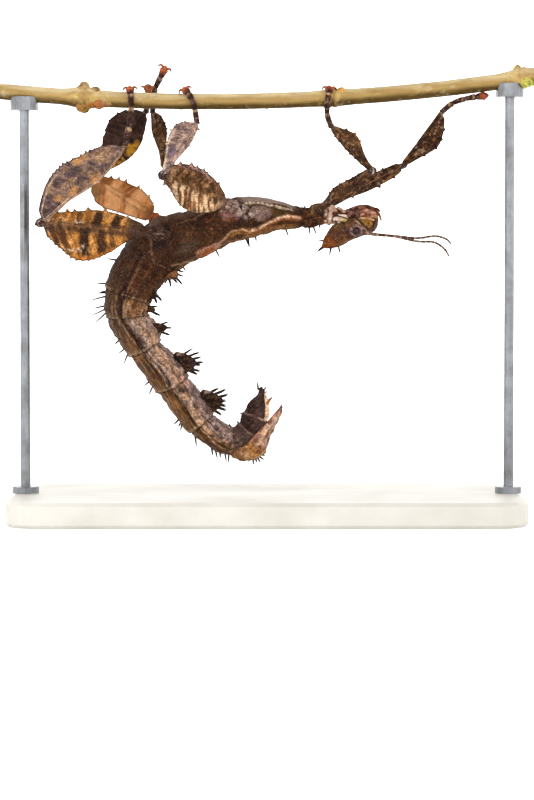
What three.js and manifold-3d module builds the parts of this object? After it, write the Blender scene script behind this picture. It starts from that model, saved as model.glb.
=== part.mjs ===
// Giant prickly stick insect, an adult-size female, hanging under a twig on a display stand.
// Millimetres, +Z up. The origin is the middle of the underside of the stand's base, +X is the
// way the head points, and the insect's left side faces -Y. It hangs belly up, tail curled over.
import * as THREE from "three";
import { mergeVertices } from "three/addons/utils/BufferGeometryUtils.js";
import Module from "manifold-3d";

// ---- Driving dimensions ----
const GAP = 0.3; // clearance between neighbouring pieces
const PERCH_GAP = 0.12; // clearance between the feet and the twig
const BASE = { length: 122, depth: 60, thickness: 6, corner: 9, edge: 0.8 };
const ROD = { x: 58, radius: 1.2, flangeRadius: 3.2, flangeHeight: 1.6, cupRadius: 3.4, cupHeight: 4 };
const TWIG = { halfLength: 67, radius: 1.9, lowX: -14, lowZ: 99.75, rise: 0.00098 };
const TWIG_NODES = [
  { x: -43.6, swell: 0.5, spread: 3.2 },
  { x: 15.5, swell: 0.3, spread: 3.0 },
  { x: 60.5, swell: 0.75, spread: 3.0 },
];
const BLADE_THICKNESS = 0.6; // the leafy lobes of the legs and tail
const SPINE_RADIUS = 0.3;

// ---- Finishes ----
const finish = (color, roughness = 0.75, metalness = 0) =>
  new THREE.MeshStandardMaterial({ color, roughness, metalness });
const BROWN = finish(0x4a3a30);
const LEG_BROWN = finish(0x5a4638);
const PALE = finish(0xb59a82);
const CLAW_RED = finish(0x9c4a30, 0.5);
const EYE_DARK = finish(0x3a2420, 0.2);
const BARK = finish(0xa08a50, 0.7);
const WHITE = finish(0xe8e6e1, 0.5);
const STEEL = finish(0xb8bcc0, 0.3, 1);

const wasm = await Module();
wasm.setup();

// ---- Solid helpers ----
const V = (x, y, z) => new THREE.Vector3(x, y, z);
const Y = V(0, 1, 0);

// A closed three.js geometry as a solid that can be joined and cut.
function solid(geometry) {
  const bare = geometry.clone();
  for (const name of Object.keys(bare.attributes)) if (name !== "position") bare.deleteAttribute(name);
  const merged = mergeVertices(bare, 1e-4);
  return new wasm.Manifold(
    new wasm.Mesh({
      numProp: 3,
      vertProperties: new Float32Array(merged.attributes.position.array),
      triVerts: new Uint32Array(merged.index.array),
    }),
  );
}

const join = (first, ...rest) => rest.reduce((all, s) => all.add(s), first);
const cut = (first, ...rest) => rest.reduce((all, s) => all.subtract(s), first);
const largest = (s) => s.decompose().sort((a, b) => b.volume() - a.volume())[0];

// A solid as a named mesh.
function piece(name, made, material) {
  const mesh = largest(made).getMesh();
  const geometry = new THREE.BufferGeometry();
  geometry.setAttribute("position", new THREE.BufferAttribute(new Float32Array(mesh.vertProperties), 3));
  geometry.setIndex(new THREE.BufferAttribute(new Uint32Array(mesh.triVerts), 1));
  geometry.computeVertexNormals();
  const node = new THREE.Mesh(geometry, material);
  node.name = name;
  return node;
}

// A closed skin over rings of equally many points, with a flat fan over each end.
function loft(rings) {
  const sides = rings[0].length;
  const points = rings.flat();
  const index = [];
  for (let r = 0; r + 1 < rings.length; r++)
    for (let i = 0; i < sides; i++) {
      const j = (i + 1) % sides;
      const [a, b] = [r * sides + i, r * sides + j];
      index.push(a, b, b + sides, a, b + sides, a + sides);
    }
  for (const [ring, flip] of [[0, true], [rings.length - 1, false]]) {
    const middle = rings[ring].reduce((sum, p) => sum.add(p), V(0, 0, 0)).divideScalar(sides);
    points.push(middle);
    for (let i = 0; i < sides; i++) {
      const [a, b] = [ring * sides + i, ring * sides + ((i + 1) % sides)];
      index.push(...(flip ? [b, a] : [a, b]), points.length - 1);
    }
  }
  const geometry = new THREE.BufferGeometry().setFromPoints(points);
  geometry.setIndex(index);
  const made = solid(geometry);
  if (made.volume() > 0) return made;
  geometry.setIndex(index.reverse());
  return solid(geometry);
}

// A value between the entries of a list, at a place counted in entries.
function between(list, place) {
  const i = Math.min(Math.floor(place), list.length - 2);
  return THREE.MathUtils.lerp(list[i], list[i + 1], place - i);
}

// A round limb through the points, one radius for each, longer at both ends and thicker by grow.
function limb(points, radii, { sides = 6, steps = 1, grow = 0 } = {}) {
  const spots = points.map((p) => p.clone());
  const [first, last] = [spots[0], spots.at(-1)];
  first.addScaledVector(spots[1].clone().sub(first).normalize(), -grow);
  last.addScaledVector(spots.at(-2).clone().sub(last).normalize(), -grow);
  const curve = new THREE.CatmullRomCurve3(spots, false, "centripetal");
  const count = (spots.length - 1) * steps;
  const rings = [];
  let side = V(0.31, 0.17, 0.93);
  for (let k = 0; k <= count; k++) {
    const centre = curve.getPoint(k / count);
    const along = curve.getTangent(k / count);
    side = side.clone().addScaledVector(along, -side.dot(along)).normalize();
    const other = along.clone().cross(side);
    const radius = between(radii, k / steps) + grow;
    rings.push(
      Array.from({ length: sides }, (_, i) => {
        const a = (2 * Math.PI * i) / sides;
        return centre
          .clone()
          .addScaledVector(side, radius * Math.cos(a))
          .addScaledVector(other, radius * Math.sin(a));
      }),
    );
  }
  return loft(rings);
}

// A thorn from a spot on the skin: its foot is sunk a little, and it tapers to a fine tip.
const thorn = (foot, way, length, radius = SPINE_RADIUS) =>
  limb(
    [foot.clone().addScaledVector(way, -0.5), foot.clone().addScaledVector(way, length)],
    [radius * 1.15, 0.07],
    { sides: 4 },
  );

const ball = (centre, radius, stretch = V(1, 1, 1), detail = 1) => {
  const geometry = new THREE.IcosahedronGeometry(radius, detail);
  geometry.scale(stretch.x, stretch.y, stretch.z).translate(centre.x, centre.y, centre.z);
  return solid(geometry);
};

const upright = (x, radius, low, high, sides = 12) => {
  const geometry = new THREE.CylinderGeometry(radius, radius, high - low, sides);
  geometry.rotateX(Math.PI / 2).translate(x, 0, (low + high) / 2);
  return solid(geometry);
};

// ---- The twig ----
const twigZ = (x) => TWIG.lowZ + TWIG.rise * (x - TWIG.lowX) ** 2;
const twigRadius = (x) =>
  TWIG_NODES.reduce((r, n) => r + n.swell * Math.exp(-(((x - n.x) / n.spread) ** 2)), TWIG.radius);

function twigBody(grow = 0) {
  const xs = [-67, -49, -45.6, -43.6, -41.6, -38, -22, -4, 11, 15.5, 20, 36, 55, 58.2, 60.5, 63, 67];
  const sides = 10;
  const rings = xs.map((x) =>
    Array.from({ length: sides }, (_, i) => {
      const a = (2 * Math.PI * i) / sides;
      const r = twigRadius(x) + grow;
      return V(x, r * Math.cos(a), twigZ(x) + r * Math.sin(a));
    }),
  );
  return loft(rings);
}

// A short cut stub or bud on the twig, from its middle outwards.
const stub = (x, way, length, foot, tip) =>
  limb([V(x, 0, twigZ(x)), V(x, 0, twigZ(x)).addScaledVector(way.normalize(), length)], [foot, tip], { sides: 5 });

function twig() {
  const buds = [
    stub(-43.8, V(-0.3, 0, 1), 3.7, 1.3, 0.5),
    stub(-45.0, V(0.1, -0.45, -0.85), 3.4, 1.4, 0.9),
    stub(-42.6, V(0.65, -0.5, -0.6), 3.6, 1.1, 0.6),
    stub(61.4, V(0.1, -0.75, -0.45), 3.4, 1.35, 1.25),
    stub(59.8, V(-0.1, 0, 1), 3.4, 1.2, 0.7),
    stub(14.2, V(-0.1, -0.1, -1), 2.7, 0.9, 0.6),
    stub(17.2, V(0.2, -0.55, 0.8), 2.8, 1.0, 0.6),
  ];
  return piece("perch_twig", join(twigBody(), ...buds), BARK);
}

// ---- The stand ----
function stand() {
  const { length, depth, thickness, corner, edge } = BASE;
  const [x, y] = [length / 2 - edge, depth / 2 - edge];
  const c = corner - edge;
  const plan = new THREE.Shape();
  plan.moveTo(-x + c, -y).lineTo(x - c, -y).absarc(x - c, -y + c, c, -Math.PI / 2, 0);
  plan.lineTo(x, y - c).absarc(x - c, y - c, c, 0, Math.PI / 2);
  plan.lineTo(-x + c, y).absarc(-x + c, y - c, c, Math.PI / 2, Math.PI);
  plan.lineTo(-x, -y + c).absarc(-x + c, -y + c, c, Math.PI, 1.5 * Math.PI);
  const slab = new THREE.ExtrudeGeometry(plan, {
    depth: thickness - 2 * edge,
    bevelSize: edge,
    bevelThickness: edge,
    bevelSegments: 1,
    curveSegments: 3,
  });
  slab.translate(0, 0, edge);
  const made = [piece("stand_base", solid(slab), WHITE)];
  for (const [side, rodX] of [["tail", -ROD.x], ["head", ROD.x]]) {
    const top = twigZ(rodX);
    const rod = join(
      upright(rodX, ROD.radius, thickness, top - 1, 10),
      upright(rodX, ROD.flangeRadius, thickness, thickness + ROD.flangeHeight),
      upright(rodX, ROD.cupRadius, top - ROD.cupHeight, top - 0.8),
    );
    made.push(piece(`stand_rod_${side}`, cut(rod, twigBody(GAP)), STEEL));
  }
  return made;
}

// ---- The trunk ----
// Each station: the middle of the body, its half depth from back to belly, its half width.
const TRUNK = [
  { x: 18.3, z: 72.4, deep: 1.7, wide: 1.6 }, // 0 neck at the head
  { x: 13.9, z: 72.6, deep: 2.2, wide: 2.0 }, // 1 front of the pronotum
  { x: 8.4, z: 72.0, deep: 2.3, wide: 2.3 }, // 2 front of the mesothorax
  { x: 2.2, z: 72.6, deep: 3.7, wide: 3.1 },
  { x: -3.6, z: 72.3, deep: 5.1, wide: 4.4 },
  { x: -9.4, z: 71.1, deep: 5.1, wide: 5.0 }, // 5 front of the metathorax
  { x: -15.9, z: 68.6, deep: 5.6, wide: 5.4 },
  { x: -23.9, z: 65.6, deep: 6.8, wide: 5.8 }, // 7 front of the abdomen
  { x: -29.3, z: 61.0, deep: 6.7, wide: 6.2 },
  { x: -33.3, z: 53.6, deep: 5.6, wide: 6.8 },
  { x: -33.4, z: 48.3, deep: 4.9, wide: 7.0 },
  { x: -29.2, z: 40.7, deep: 4.0, wide: 7.2 },
  { x: -22.6, z: 32.1, deep: 4.1, wide: 7.4 },
  { x: -15.5, z: 22.7, deep: 3.5, wide: 6.2 },
  { x: -8.6, z: 18.7, deep: 3.4, wide: 4.8 }, // 14 front of the upturned tail
  { x: -4.7, z: 21.2, deep: 2.6, wide: 3.8 },
  { x: -3.0, z: 24.8, deep: 2.8, wide: 3.2 },
  { x: -1.3, z: 31.6, deep: 0.5, wide: 0.6 }, // 17 tip of the last segment
];
const SEGMENTS = [
  ["neck", 0, 1, 1.0],
  ["prothorax", 1, 2, 1.06],
  ["mesothorax", 2, 5, 1.02],
  ["metathorax", 5, 7, 1.02],
  ...Array.from({ length: 10 }, (_, i) => [`abdomen_${i + 1}`, i + 7, i + 8, 1.0]),
];
SEGMENTS.slice(8, 10).forEach((s) => (s[3] = 1.08)); // the broad middle segments bulge
const KEEL = 0.14; // how far the side ridge stands out, as a share of the half width
const CRESTS = { 9: 0.6, 10: 1.3, 11: 0.9, 12: 1.0 }; // how far the back rises under a comb, by place

// The back rises from the front of a segment to its comb, and drops again at its end.
function crest(place) {
  const start = Math.floor(place);
  const phase = place - start;
  return (CRESTS[start] ?? 0) * Math.min(1, phase / 0.6, (1 - phase) / 0.15);
}

const trunkCurve = new THREE.CatmullRomCurve3(TRUNK.map((s) => V(s.x, 0, s.z)), false, "centripetal");
const trunkAt = (place) => trunkCurve.getPoint(place / (TRUNK.length - 1));

function trunkFrame(place) {
  const along = trunkCurve.getTangent(place / (TRUNK.length - 1));
  return { along, back: along.clone().cross(Y).normalize() };
}

// A spot on the trunk's skin: turn 0 is the middle of the back, 90 the right side, 180 the belly.
function onTrunk(place, turn, bulge = 1, grow = 0) {
  const { back } = trunkFrame(place);
  const deep = between(TRUNK.map((s) => s.deep), place) * bulge + grow;
  const wide = between(TRUNK.map((s) => s.wide), place) * bulge + grow;
  const [c, s] = [Math.cos(turn), Math.sin(turn)];
  return trunkAt(place)
    .addScaledVector(back, deep * c + crest(place) * Math.max(c, 0) ** 2)
    .addScaledVector(Y, wide * s * (1 + KEEL * s ** 8));
}

// One length of the trunk between two stations, bulging in the middle by the given share. Its end
// faces stand back from the joints by half a gap, so that neighbours face each other squarely.
function trunkLength(from, to, bulge, grow = 0) {
  const lengths = Math.max(3, 2 * (to - from));
  const sides = 12;
  const rings = [];
  for (let k = 0; k <= lengths; k++) {
    const t = k / lengths;
    const place = THREE.MathUtils.lerp(from, to, t);
    const swell = 1 + (bulge - 1) * Math.sin(Math.PI * t);
    const inwards = grow ? 0 : (GAP / 2) * ((k === 0) - (k === lengths));
    const shift = trunkFrame(place).along.multiplyScalar(inwards);
    rings.push(
      Array.from({ length: sides }, (_, i) =>
        onTrunk(place, (2 * Math.PI * i) / sides, swell, grow).add(shift),
      ),
    );
  }
  return loft(rings);
}

// Thorns on the trunk: place, turn in degrees, length, and lean towards the tail.
const THORNS = {
  prothorax: [[1.75, 12, 2.0, 0.0], [1.58, -10, 2.1, -0.2]],
  mesothorax: [[2.55, 8, 1.8, -0.5], [4.3, 10, 1.9, 0.1], [4.4, -12, 2.1, -0.2]],
  metathorax: [[5.75, 8, 1.9, 0], [6.85, 14, 1.3, 0]],
  abdomen_2: [[8.34, 188, 2.0, 0.45], [8.88, 172, 2.9, 0.4]],
  abdomen_3: [
    [9.12, 178, 1.8, 0.3],
    [9.24, 187, 3.2, 0.4],
    [9.52, 173, 2.8, 0.2],
    [9.62, 186, 3.2, 0.45],
    [9.74, 178, 3.3, 0.8],
  ],
  abdomen_4: [[10.71, 186, 1.6, 0.1], [10.86, 174, 2.8, 0.7]],
  abdomen_5: [[11.63, 186, 1.4, 0], [11.76, 174, 2.3, 0.5]],
  abdomen_6: [[12.63, 187, 1.5, 0.2], [12.73, 173, 1.6, 0.8]],
  abdomen_7: [[13.1, 186, 2.1, 1.0], [13.57, 188, 1.5, 0.75], [13.66, 174, 1.9, 0.85], [13.88, 176, 1.7, 0.3]],
  abdomen_8: [[14.3, 0, 0.8, 0]],
  abdomen_9: [[15.85, 0, 0.8, 0], [15.85, 180, 0.9, 0.2]],
  abdomen_10: [[16.9, 0, 0.9, -0.2], [16.9, 180, 1.0, 0.6]],
};

function trunkThorns(name) {
  return (THORNS[name] ?? []).map(([place, turn, length, lean]) => {
    const spot = onTrunk(place, THREE.MathUtils.degToRad(turn));
    const way = spot.clone().sub(trunkAt(place)).normalize();
    way.addScaledVector(trunkFrame(place).along, lean).normalize();
    return thorn(spot, way, length);
  });
}

// A pair of leafy combs on the back: a fan with spikes round its edge, one left and one right.
const COMBS = {
  abdomen_1: { place: 7.5, reach: 1.6, breadth: 2.8, spikes: 4, spike: 2.0, lean: -0.1 },
  abdomen_2: { place: 8.6, reach: 1.5, breadth: 1.6, spikes: 2, spike: 1.5, lean: 0.7 },
  abdomen_3: { place: 9.62, reach: 1.9, breadth: 1.6, spikes: 2, spike: 1.4, lean: 0.3 },
  abdomen_4: { place: 10.68, reach: 2.6, breadth: 2.6, spikes: 3, spike: 1.8, lean: 0.55 },
  abdomen_5: { place: 11.7, reach: 4.1, breadth: 4.7, spikes: 6, spike: 1.8, lean: 0.68 },
  abdomen_6: { place: 12.62, reach: 4.2, breadth: 4.7, spikes: 6, spike: 1.8, lean: 0.75 },
};
const COMB_SPLAY = 0.32; // how far each comb of a pair leans outwards, in radians

function combOutline({ reach, breadth, spikes, spike }) {
  const half = breadth / 2;
  const root = -1.2; // sunk into the back
  const shape = new THREE.Shape();
  shape.moveTo(-half * 0.9, root);
  shape.lineTo(half * 0.9, root);
  const rim = (t) => {
    const a = THREE.MathUtils.lerp(-0.95, 0.95, t);
    return [half * 1.15 * Math.sin(-a) * 1.1, reach * (0.35 + 0.65 * Math.cos(a)), -a];
  };
  for (let i = 0; i < spikes; i++) {
    const [x0, y0] = rim(i / spikes);
    const [x1, y1, a] = rim((i + 0.5) / spikes);
    shape.lineTo(x0, y0);
    shape.lineTo(x1 + spike * Math.sin(a) * 0.8, y1 + spike * Math.cos(a));
  }
  const [x, y] = rim(1);
  shape.lineTo(x, y);
  shape.closePath();
  return shape;
}

function combs(name) {
  const comb = COMBS[name];
  if (!comb) return [];
  const { along, back } = trunkFrame(comb.place);
  return [-1, 1].map((side) => {
    const plate = new THREE.ExtrudeGeometry(combOutline(comb), { depth: BLADE_THICKNESS, bevelEnabled: false });
    plate.translate(0, 0, -BLADE_THICKNESS / 2);
    const out = back.clone().addScaledVector(along, comb.lean).normalize();
    const way = out.clone().addScaledVector(Y, side * COMB_SPLAY).normalize();
    const over = along.clone().addScaledVector(way, -along.dot(way)).normalize();
    const root = onTrunk(comb.place, side * 0.42);
    const basis = new THREE.Matrix4().makeBasis(over, way, over.clone().cross(way));
    return solid(plate.applyMatrix4(basis.setPosition(root)));
  });
}

function trunk() {
  return SEGMENTS.map(([name, from, to, bulge], i) => {
    const made = join(trunkLength(from, to, bulge), ...trunkThorns(name), ...combs(name));
    if (i === 0) return piece(name, made, PALE);
    const [, first, last, swell] = SEGMENTS[i - 1];
    return piece(name, cut(made, trunkLength(first, last, swell, GAP)), BROWN);
  });
}

// The scoop under the tail, and the small flaps between it and the last segment.
function tailPlates() {
  const stations = [
    [-8.2, 15.6, 0.9, 3.0],
    [-5.2, 15.3, 1.3, 3.4],
    [-2.5, 16.9, 1.5, 3.2],
    [-0.4, 19.8, 1.3, 2.8],
    [1.4, 22.8, 1.0, 1.9],
    [3.4, 27.1, 0.3, 0.3],
  ];
  const rings = stations.map(([x, z, deep, wide], i) => {
    const [a, b] = [stations[Math.max(i - 1, 0)], stations[Math.min(i + 1, stations.length - 1)]];
    const back = V(b[0] - a[0], 0, b[1] - a[1]).normalize().cross(Y);
    return Array.from({ length: 8 }, (_, k) => {
      const turn = (2 * Math.PI * k) / 8;
      return V(x, wide * Math.sin(turn), z).addScaledVector(back, deep * Math.cos(turn));
    });
  });
  const thorns = [-5.6, -3.6, -2.2, -1.0, 0.4].map((x, i) =>
    thorn(V(x, (i % 2 ? 1 : -1) * 0.8, 14.6 + 0.13 * i * i), V(0.15 * i, 0, -1).normalize(), 0.8),
  );
  const keepOut = [13, 14, 15, 16].map((place) => trunkLength(place, place + 1, 1, GAP));
  const flap = limb([V(-0.9, -0.9, 24.3), V(0.4, -1.0, 26.8), V(1.2, -1.0, 29.1)], [0.9, 0.7, 0.25], { sides: 6 });
  const flapRight = limb([V(-0.9, 0.9, 24.3), V(0.4, 1.0, 26.8), V(1.2, 1.0, 29.1)], [0.9, 0.7, 0.25], { sides: 6 });
  const scoop = cut(join(loft(rings), ...thorns), ...keepOut);
  return [
    piece("tail_scoop", scoop, PALE),
    piece("tail_flap_left", cut(flap, ...keepOut, scoop), CLAW_RED),
    piece("tail_flap_right", cut(flapRight, ...keepOut, scoop), CLAW_RED),
  ];
}

// ---- The head ----
const CROWN = V(13.9, 0, 65.5);
const MOUTH = V(25.0, 0, 72.6);
const HEAD = [
  // share of the way from crown to mouth, half depth, half width, shift towards the brow
  [0.0, 0.7, 0.7, 0],
  [0.16, 1.7, 1.5, 0],
  [0.4, 2.6, 2.5, 0],
  [0.62, 2.8, 3.1, 0.1],
  [0.82, 2.2, 2.8, 0.6],
  [1.0, 1.3, 1.8, 0.7],
];
const EYE = { radius: 0.98, x: 21.3, y: 2.55, z: 68.9 };
const headAlong = MOUTH.clone().sub(CROWN).normalize();
const headBrow = headAlong.clone().cross(Y).negate();

// The head capsule, thicker all round by grow.
function capsule(grow = 0) {
  const middle = ([share, , , shift], by) =>
    CROWN.clone().lerp(MOUTH, share).addScaledVector(headBrow, -shift).addScaledVector(headAlong, by);
  return loft(
    HEAD.map((station, r) =>
      Array.from({ length: 12 }, (_, i) => {
        const a = (2 * Math.PI * i) / 12;
        return middle(station, r === 0 ? -grow : r === HEAD.length - 1 ? grow : 0)
          .addScaledVector(headBrow, (station[1] + grow) * Math.cos(a))
          .addScaledVector(Y, (station[2] + grow) * Math.sin(a));
      }),
    ),
  );
}

function head() {
  const thorns = [
    thorn(CROWN.clone(), V(-0.8, 0, -0.55).normalize(), 1.9, 0.42),
    thorn(V(14.1, 0.6, 66.6), V(-1, 0.1, 0).normalize(), 1.5),
    thorn(V(15.3, -0.5, 65.0), V(-0.2, -0.15, -1).normalize(), 1.5),
    thorn(V(17.3, 0.5, 65.5), V(0.2, 0.15, -1).normalize(), 1.4),
  ];
  const eyes = [-1, 1].map((side) => V(EYE.x, side * EYE.y, EYE.z));
  const sockets = eyes.map((p) => ball(p, EYE.radius * 1.36, V(1, 1, 1), 0));
  const neckRoom = trunkLength(0, 1, 1, GAP);
  const feelerRoom = [-1, 1].map((side) => feeler(side, GAP));
  const palps = [-1, 1].map((side) =>
    limb([V(25.3, side, 73.9), V(26.9, side * 1.3, 73.4), V(27.3, side * 1.2, 71.2)], [0.5, 0.42, 0.3]),
  );
  const jaws = join(
    ball(V(22.3, 0, 73.2), 1.8, V(1.75, 1, 0.85)),
    ball(V(25.1, 0, 72.2), 1.8, V(1, 1, 1.35)),
    ...palps,
  );
  const skull = cut(join(capsule(), ...thorns), ...sockets, neckRoom, ...feelerRoom);
  return [
    piece("head", skull, BROWN),
    piece("mouthparts", cut(jaws, capsule(GAP), neckRoom, ...feelerRoom), CLAW_RED),
    ...eyes.map((p, i) => piece(i ? "eye_right" : "eye_left", ball(p, EYE.radius), EYE_DARK)),
  ];
}

// A feeler, swept forwards and outwards, with its last third drooping from the split.
function feeler(side, grow = 0) {
  const drop = side < 0 ? [0, 0.1, 0.8, 1.6, 2.5, 3.0] : [0, 0, 0, 0, 0, 0];
  const path = [[24.2, 68.3], [30.5, 67.7], [36.2, 67.2], [40.6, 67.7], [43.2, 66.9], [44.3, 65.8]];
  const points = path.map(([x, z], i) => V(x - 0.3 * drop[i], side * (1 + 0.45 * i), z - drop[i]));
  return limb(points, [0.36, 0.31, 0.28, 0.26, 0.26, 0.25], { steps: 2, grow });
}

// ---- The legs ----
// Joints of each leg: hip (in the body), trochanter, knee and ankle, then points along the foot.
// A lobe stands out from the line between two joints by the given heights at even steps from the
// first joint to the second: over is on the side of Y x direction, and under on the other side.
const lobe = (heights, teeth, tooth) => ({ heights, teeth, tooth });
const LEGS = {
  hind_left: {
    hip: V(-22.6, -3.2, 67.2), hipRadius: 2.6, trochanter: V(-28.0, -6.4, 68.5),
    knee: V(-53.1, -14, 70.7), ankle: V(-33.8, -4.4, 88.9),
    foot: [V(-32.8, -3.5, 93.5), V(-32.3, -2.75, 98.4), V(-32.5, -2.6, 101.3), V(-32.6, -1.9, 102.5)],
    femur: { over: lobe([1.4, 2.9, 4.0, 4.3, 3.3, 2.7, 2.2], 5, 0.6), under: lobe([0.6, 1.7, 5.6, 7.8, 8.2, 4.8, 1.8], 7, 0.5) },
    tibia: { over: lobe([0.6, 0.5, 0.7, 1.6, 2.1, 1.1, 0.6], 0, 0), under: lobe([1.2, 4.0, 5.9, 6.8, 5.3, 4.0, 1.4], 6, 0.5) },
  },
  hind_right: {
    hip: V(-22.6, 3.2, 67.4), hipRadius: 2.6, trochanter: V(-27.5, 6.4, 72.2),
    knee: V(-43.1, 25, 82.2), ankle: V(-29.2, 8, 97.9),
    foot: [V(-28.6, 4.6, 99.9), V(-28.4, 2.8, 100.8), V(-28.4, 1.9, 102.3), V(-28.4, -0.2, 103.0)],
    femur: { over: lobe([1.8, 3.4, 4.3, 3.7, 3.2, 2.1, 1.0], 5, 0.7), under: lobe([1.4, 2.2, 3.1, 3.9, 4.8, 4.6, 2.0], 5, 0.4) },
    tibia: { over: lobe([0.6, 1.5, 3.3, 4.3, 4.1, 2.6, 0.8], 0, 0), under: lobe([0.6, 1.6, 3.0, 5.1, 5.9, 4.4, 0.8], 5, 0.6) },
  },
  middle_left: {
    hip: V(-6.6, -2.8, 72.6), hipRadius: 2.2, trochanter: V(-9.7, -6.0, 75.3),
    knee: V(-24.3, -15, 81.8), ankle: V(-16.6, -6, 94.5),
    foot: [V(-17.1, -3.9, 97.4), V(-17.7, -2.75, 99.8), V(-18.6, -2.4, 101.4), V(-19.4, -1.6, 102.4)],
    femur: { over: lobe([1.2, 3.0, 4.4, 5.0, 4.9, 4.4, 2.2], 5, 0.6), under: lobe([1.3, 3.1, 4.4, 4.5, 3.9, 2.2, 1.1], 5, 0.3) },
    tibia: { over: lobe([0.6, 0.5, 0.7, 1.1, 1.3, 1.0, 0.8], 3, 0.3), under: lobe([0.6, 1.4, 2.3, 3.1, 3.1, 3.1, 1.0], 4, 0.5) },
  },
  middle_right: {
    hip: V(-6.6, 2.8, 72.6), hipRadius: 2.2, trochanter: V(-9.7, 6.0, 75.3),
    knee: V(-24.9, 14, 85.4), ankle: V(-27.5, 4.9, 97.6),
    foot: [V(-27.3, 3.1, 100.2), V(-26.8, 2.9, 103.0), V(-25.6, 2.9, 105.6), V(-24.6, 2.9, 107.6)],
    femur: { over: lobe([1.2, 1.8, 2.3, 2.3, 2.0, 1.3, 1.0], 3, 0.6), under: lobe([1.2, 2.6, 3.4, 3.8, 3.6, 2.8, 1.2], 4, 0.4) },
    tibia: { over: lobe([0.6, 0.9, 1.3, 2.1, 2.5, 2.1, 1.0], 3, 0.4), under: lobe([0.5, 0.6, 0.9, 1.2, 1.4, 0.9, 0.6], 0, 0) },
  },
  fore_left: {
    hip: V(10.6, -0.9, 73.0), hipRadius: 1.6, trochanter: V(12.6, -3.4, 74.2),
    knee: V(24.5, -18.8, 82.7), ankle: V(15.1, -8.6, 93.6),
    foot: [V(14.3, -5.0, 96.4), V(14.4, -2.9, 99.6), V(14.7, -2.8, 101.5), V(14.8, -2.0, 102.6)],
    femur: { over: lobe([0.8, 0.7, 1.1, 1.5, 1.8, 1.7, 1.0], 3, 0.3), under: lobe([0.8, 1.0, 2.2, 2.0, 1.5, 1.3, 1.0], 3, 0.4) },
    tibia: { over: lobe([0.6, 0.8, 1.5, 2.7, 3.0, 1.5, 0.5], 3, 0.3), under: lobe([0.6, 0.9, 1.1, 1.3, 1.2, 1.1, 0.6], 4, 0.3) },
  },
  fore_right: {
    hip: V(10.6, 0.9, 73.0), hipRadius: 1.6, trochanter: V(13.4, 3.4, 74.4),
    knee: V(33.1, 10, 85.0), ankle: V(42.0, 2.8, 97.5),
    foot: [V(44.4, 1.2, 99.4), V(47.2, 0.6, 100.4), V(49.8, 0.2, 100.85), V(52.0, 0, 101.15)],
    femur: { over: lobe([0.8, 0.8, 0.9, 1.6, 1.7, 1.7, 1.0], 3, 0.4), under: lobe([0.8, 1.2, 1.4, 1.6, 1.7, 1.4, 1.0], 3, 0.4) },
    tibia: { over: lobe([0.7, 1.7, 3.1, 4.3, 3.8, 2.5, 0.8], 4, 0.5), under: lobe([0.5, 0.55, 0.6, 0.6, 0.6, 0.5, 0.5], 0, 0) },
  },
};
const LOBE_ENDS = [0.035, 0.965]; // a lobe starts and stops a little short of the joints

// The edge of a lobe as [along, height] points, with its teeth leaning forwards.
function lobeEdge({ heights, teeth, tooth }, length, grow) {
  const count = teeth || 5;
  const [start, stop] = [LOBE_ENDS[0] - grow / length, LOBE_ENDS[1] + grow / length];
  const edge = [];
  for (let i = 0; i <= count; i++) {
    const t = THREE.MathUtils.lerp(start, stop, i / count);
    const height = (share) => between(heights, THREE.MathUtils.clamp(share, 0, 1) * (heights.length - 1)) + grow;
    edge.push([t * length, height(t)]);
    if (teeth && i < count) {
      const tip = THREE.MathUtils.lerp(start, stop, (i + 0.7) / count);
      edge.push([tip * length, height(tip) + tooth]);
    }
  }
  return edge;
}

// A leafy leg length between two joints: a round rib with a toothed lobe on each side.
function leafyLength(from, to, { over, under }, radii, grow = 0) {
  const along = to.clone().sub(from);
  const length = along.length();
  along.normalize();
  const up = Y.clone().cross(along).normalize();
  const top = lobeEdge(over, length, grow);
  const bottom = lobeEdge(under, length, grow).map(([a, h]) => [a, -h]).reverse();
  const outline = new THREE.Shape([...top, ...bottom].map(([a, h]) => new THREE.Vector2(a, h)));
  const thickness = BLADE_THICKNESS + 2 * grow;
  const plate = new THREE.ExtrudeGeometry(outline, { depth: thickness, bevelEnabled: false });
  plate.translate(0, 0, -thickness / 2);
  const basis = new THREE.Matrix4().makeBasis(along, up, along.clone().cross(up)).setPosition(from);
  return join(limb([from, to], radii, { grow }), solid(plate.applyMatrix4(basis)));
}

// The foot: jointed, with a pad and two hooked claws.
function foot(ankle, spots) {
  const path = [ankle, ...spots];
  const [before, end] = path.slice(-2);
  const way = end.clone().sub(before).normalize();
  const side = Math.abs(way.x) > 0.9 ? V(0, 1, 0) : V(1, 0, 0).addScaledVector(way, -way.x).normalize();
  const droop = way.clone().cross(side);
  if (droop.y < 0) droop.negate();
  const claws = [-1, 1].map((s) =>
    limb(
      [
        end.clone().addScaledVector(side, s * 0.3),
        end.clone().addScaledVector(side, s * 1.3).addScaledVector(way, 0.7),
        end.clone().addScaledVector(side, s * 1.75).addScaledVector(way, -0.2).addScaledVector(droop, 0.4),
      ],
      [0.42, 0.32, 0.09],
      { sides: 4 },
    ),
  );
  path.push(end.clone().addScaledVector(way, 0.75));
  return join(limb(path, [0.62, 0.55, 0.55, 0.6, 0.85, 0.4], { sides: 5 }), ...claws);
}

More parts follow.
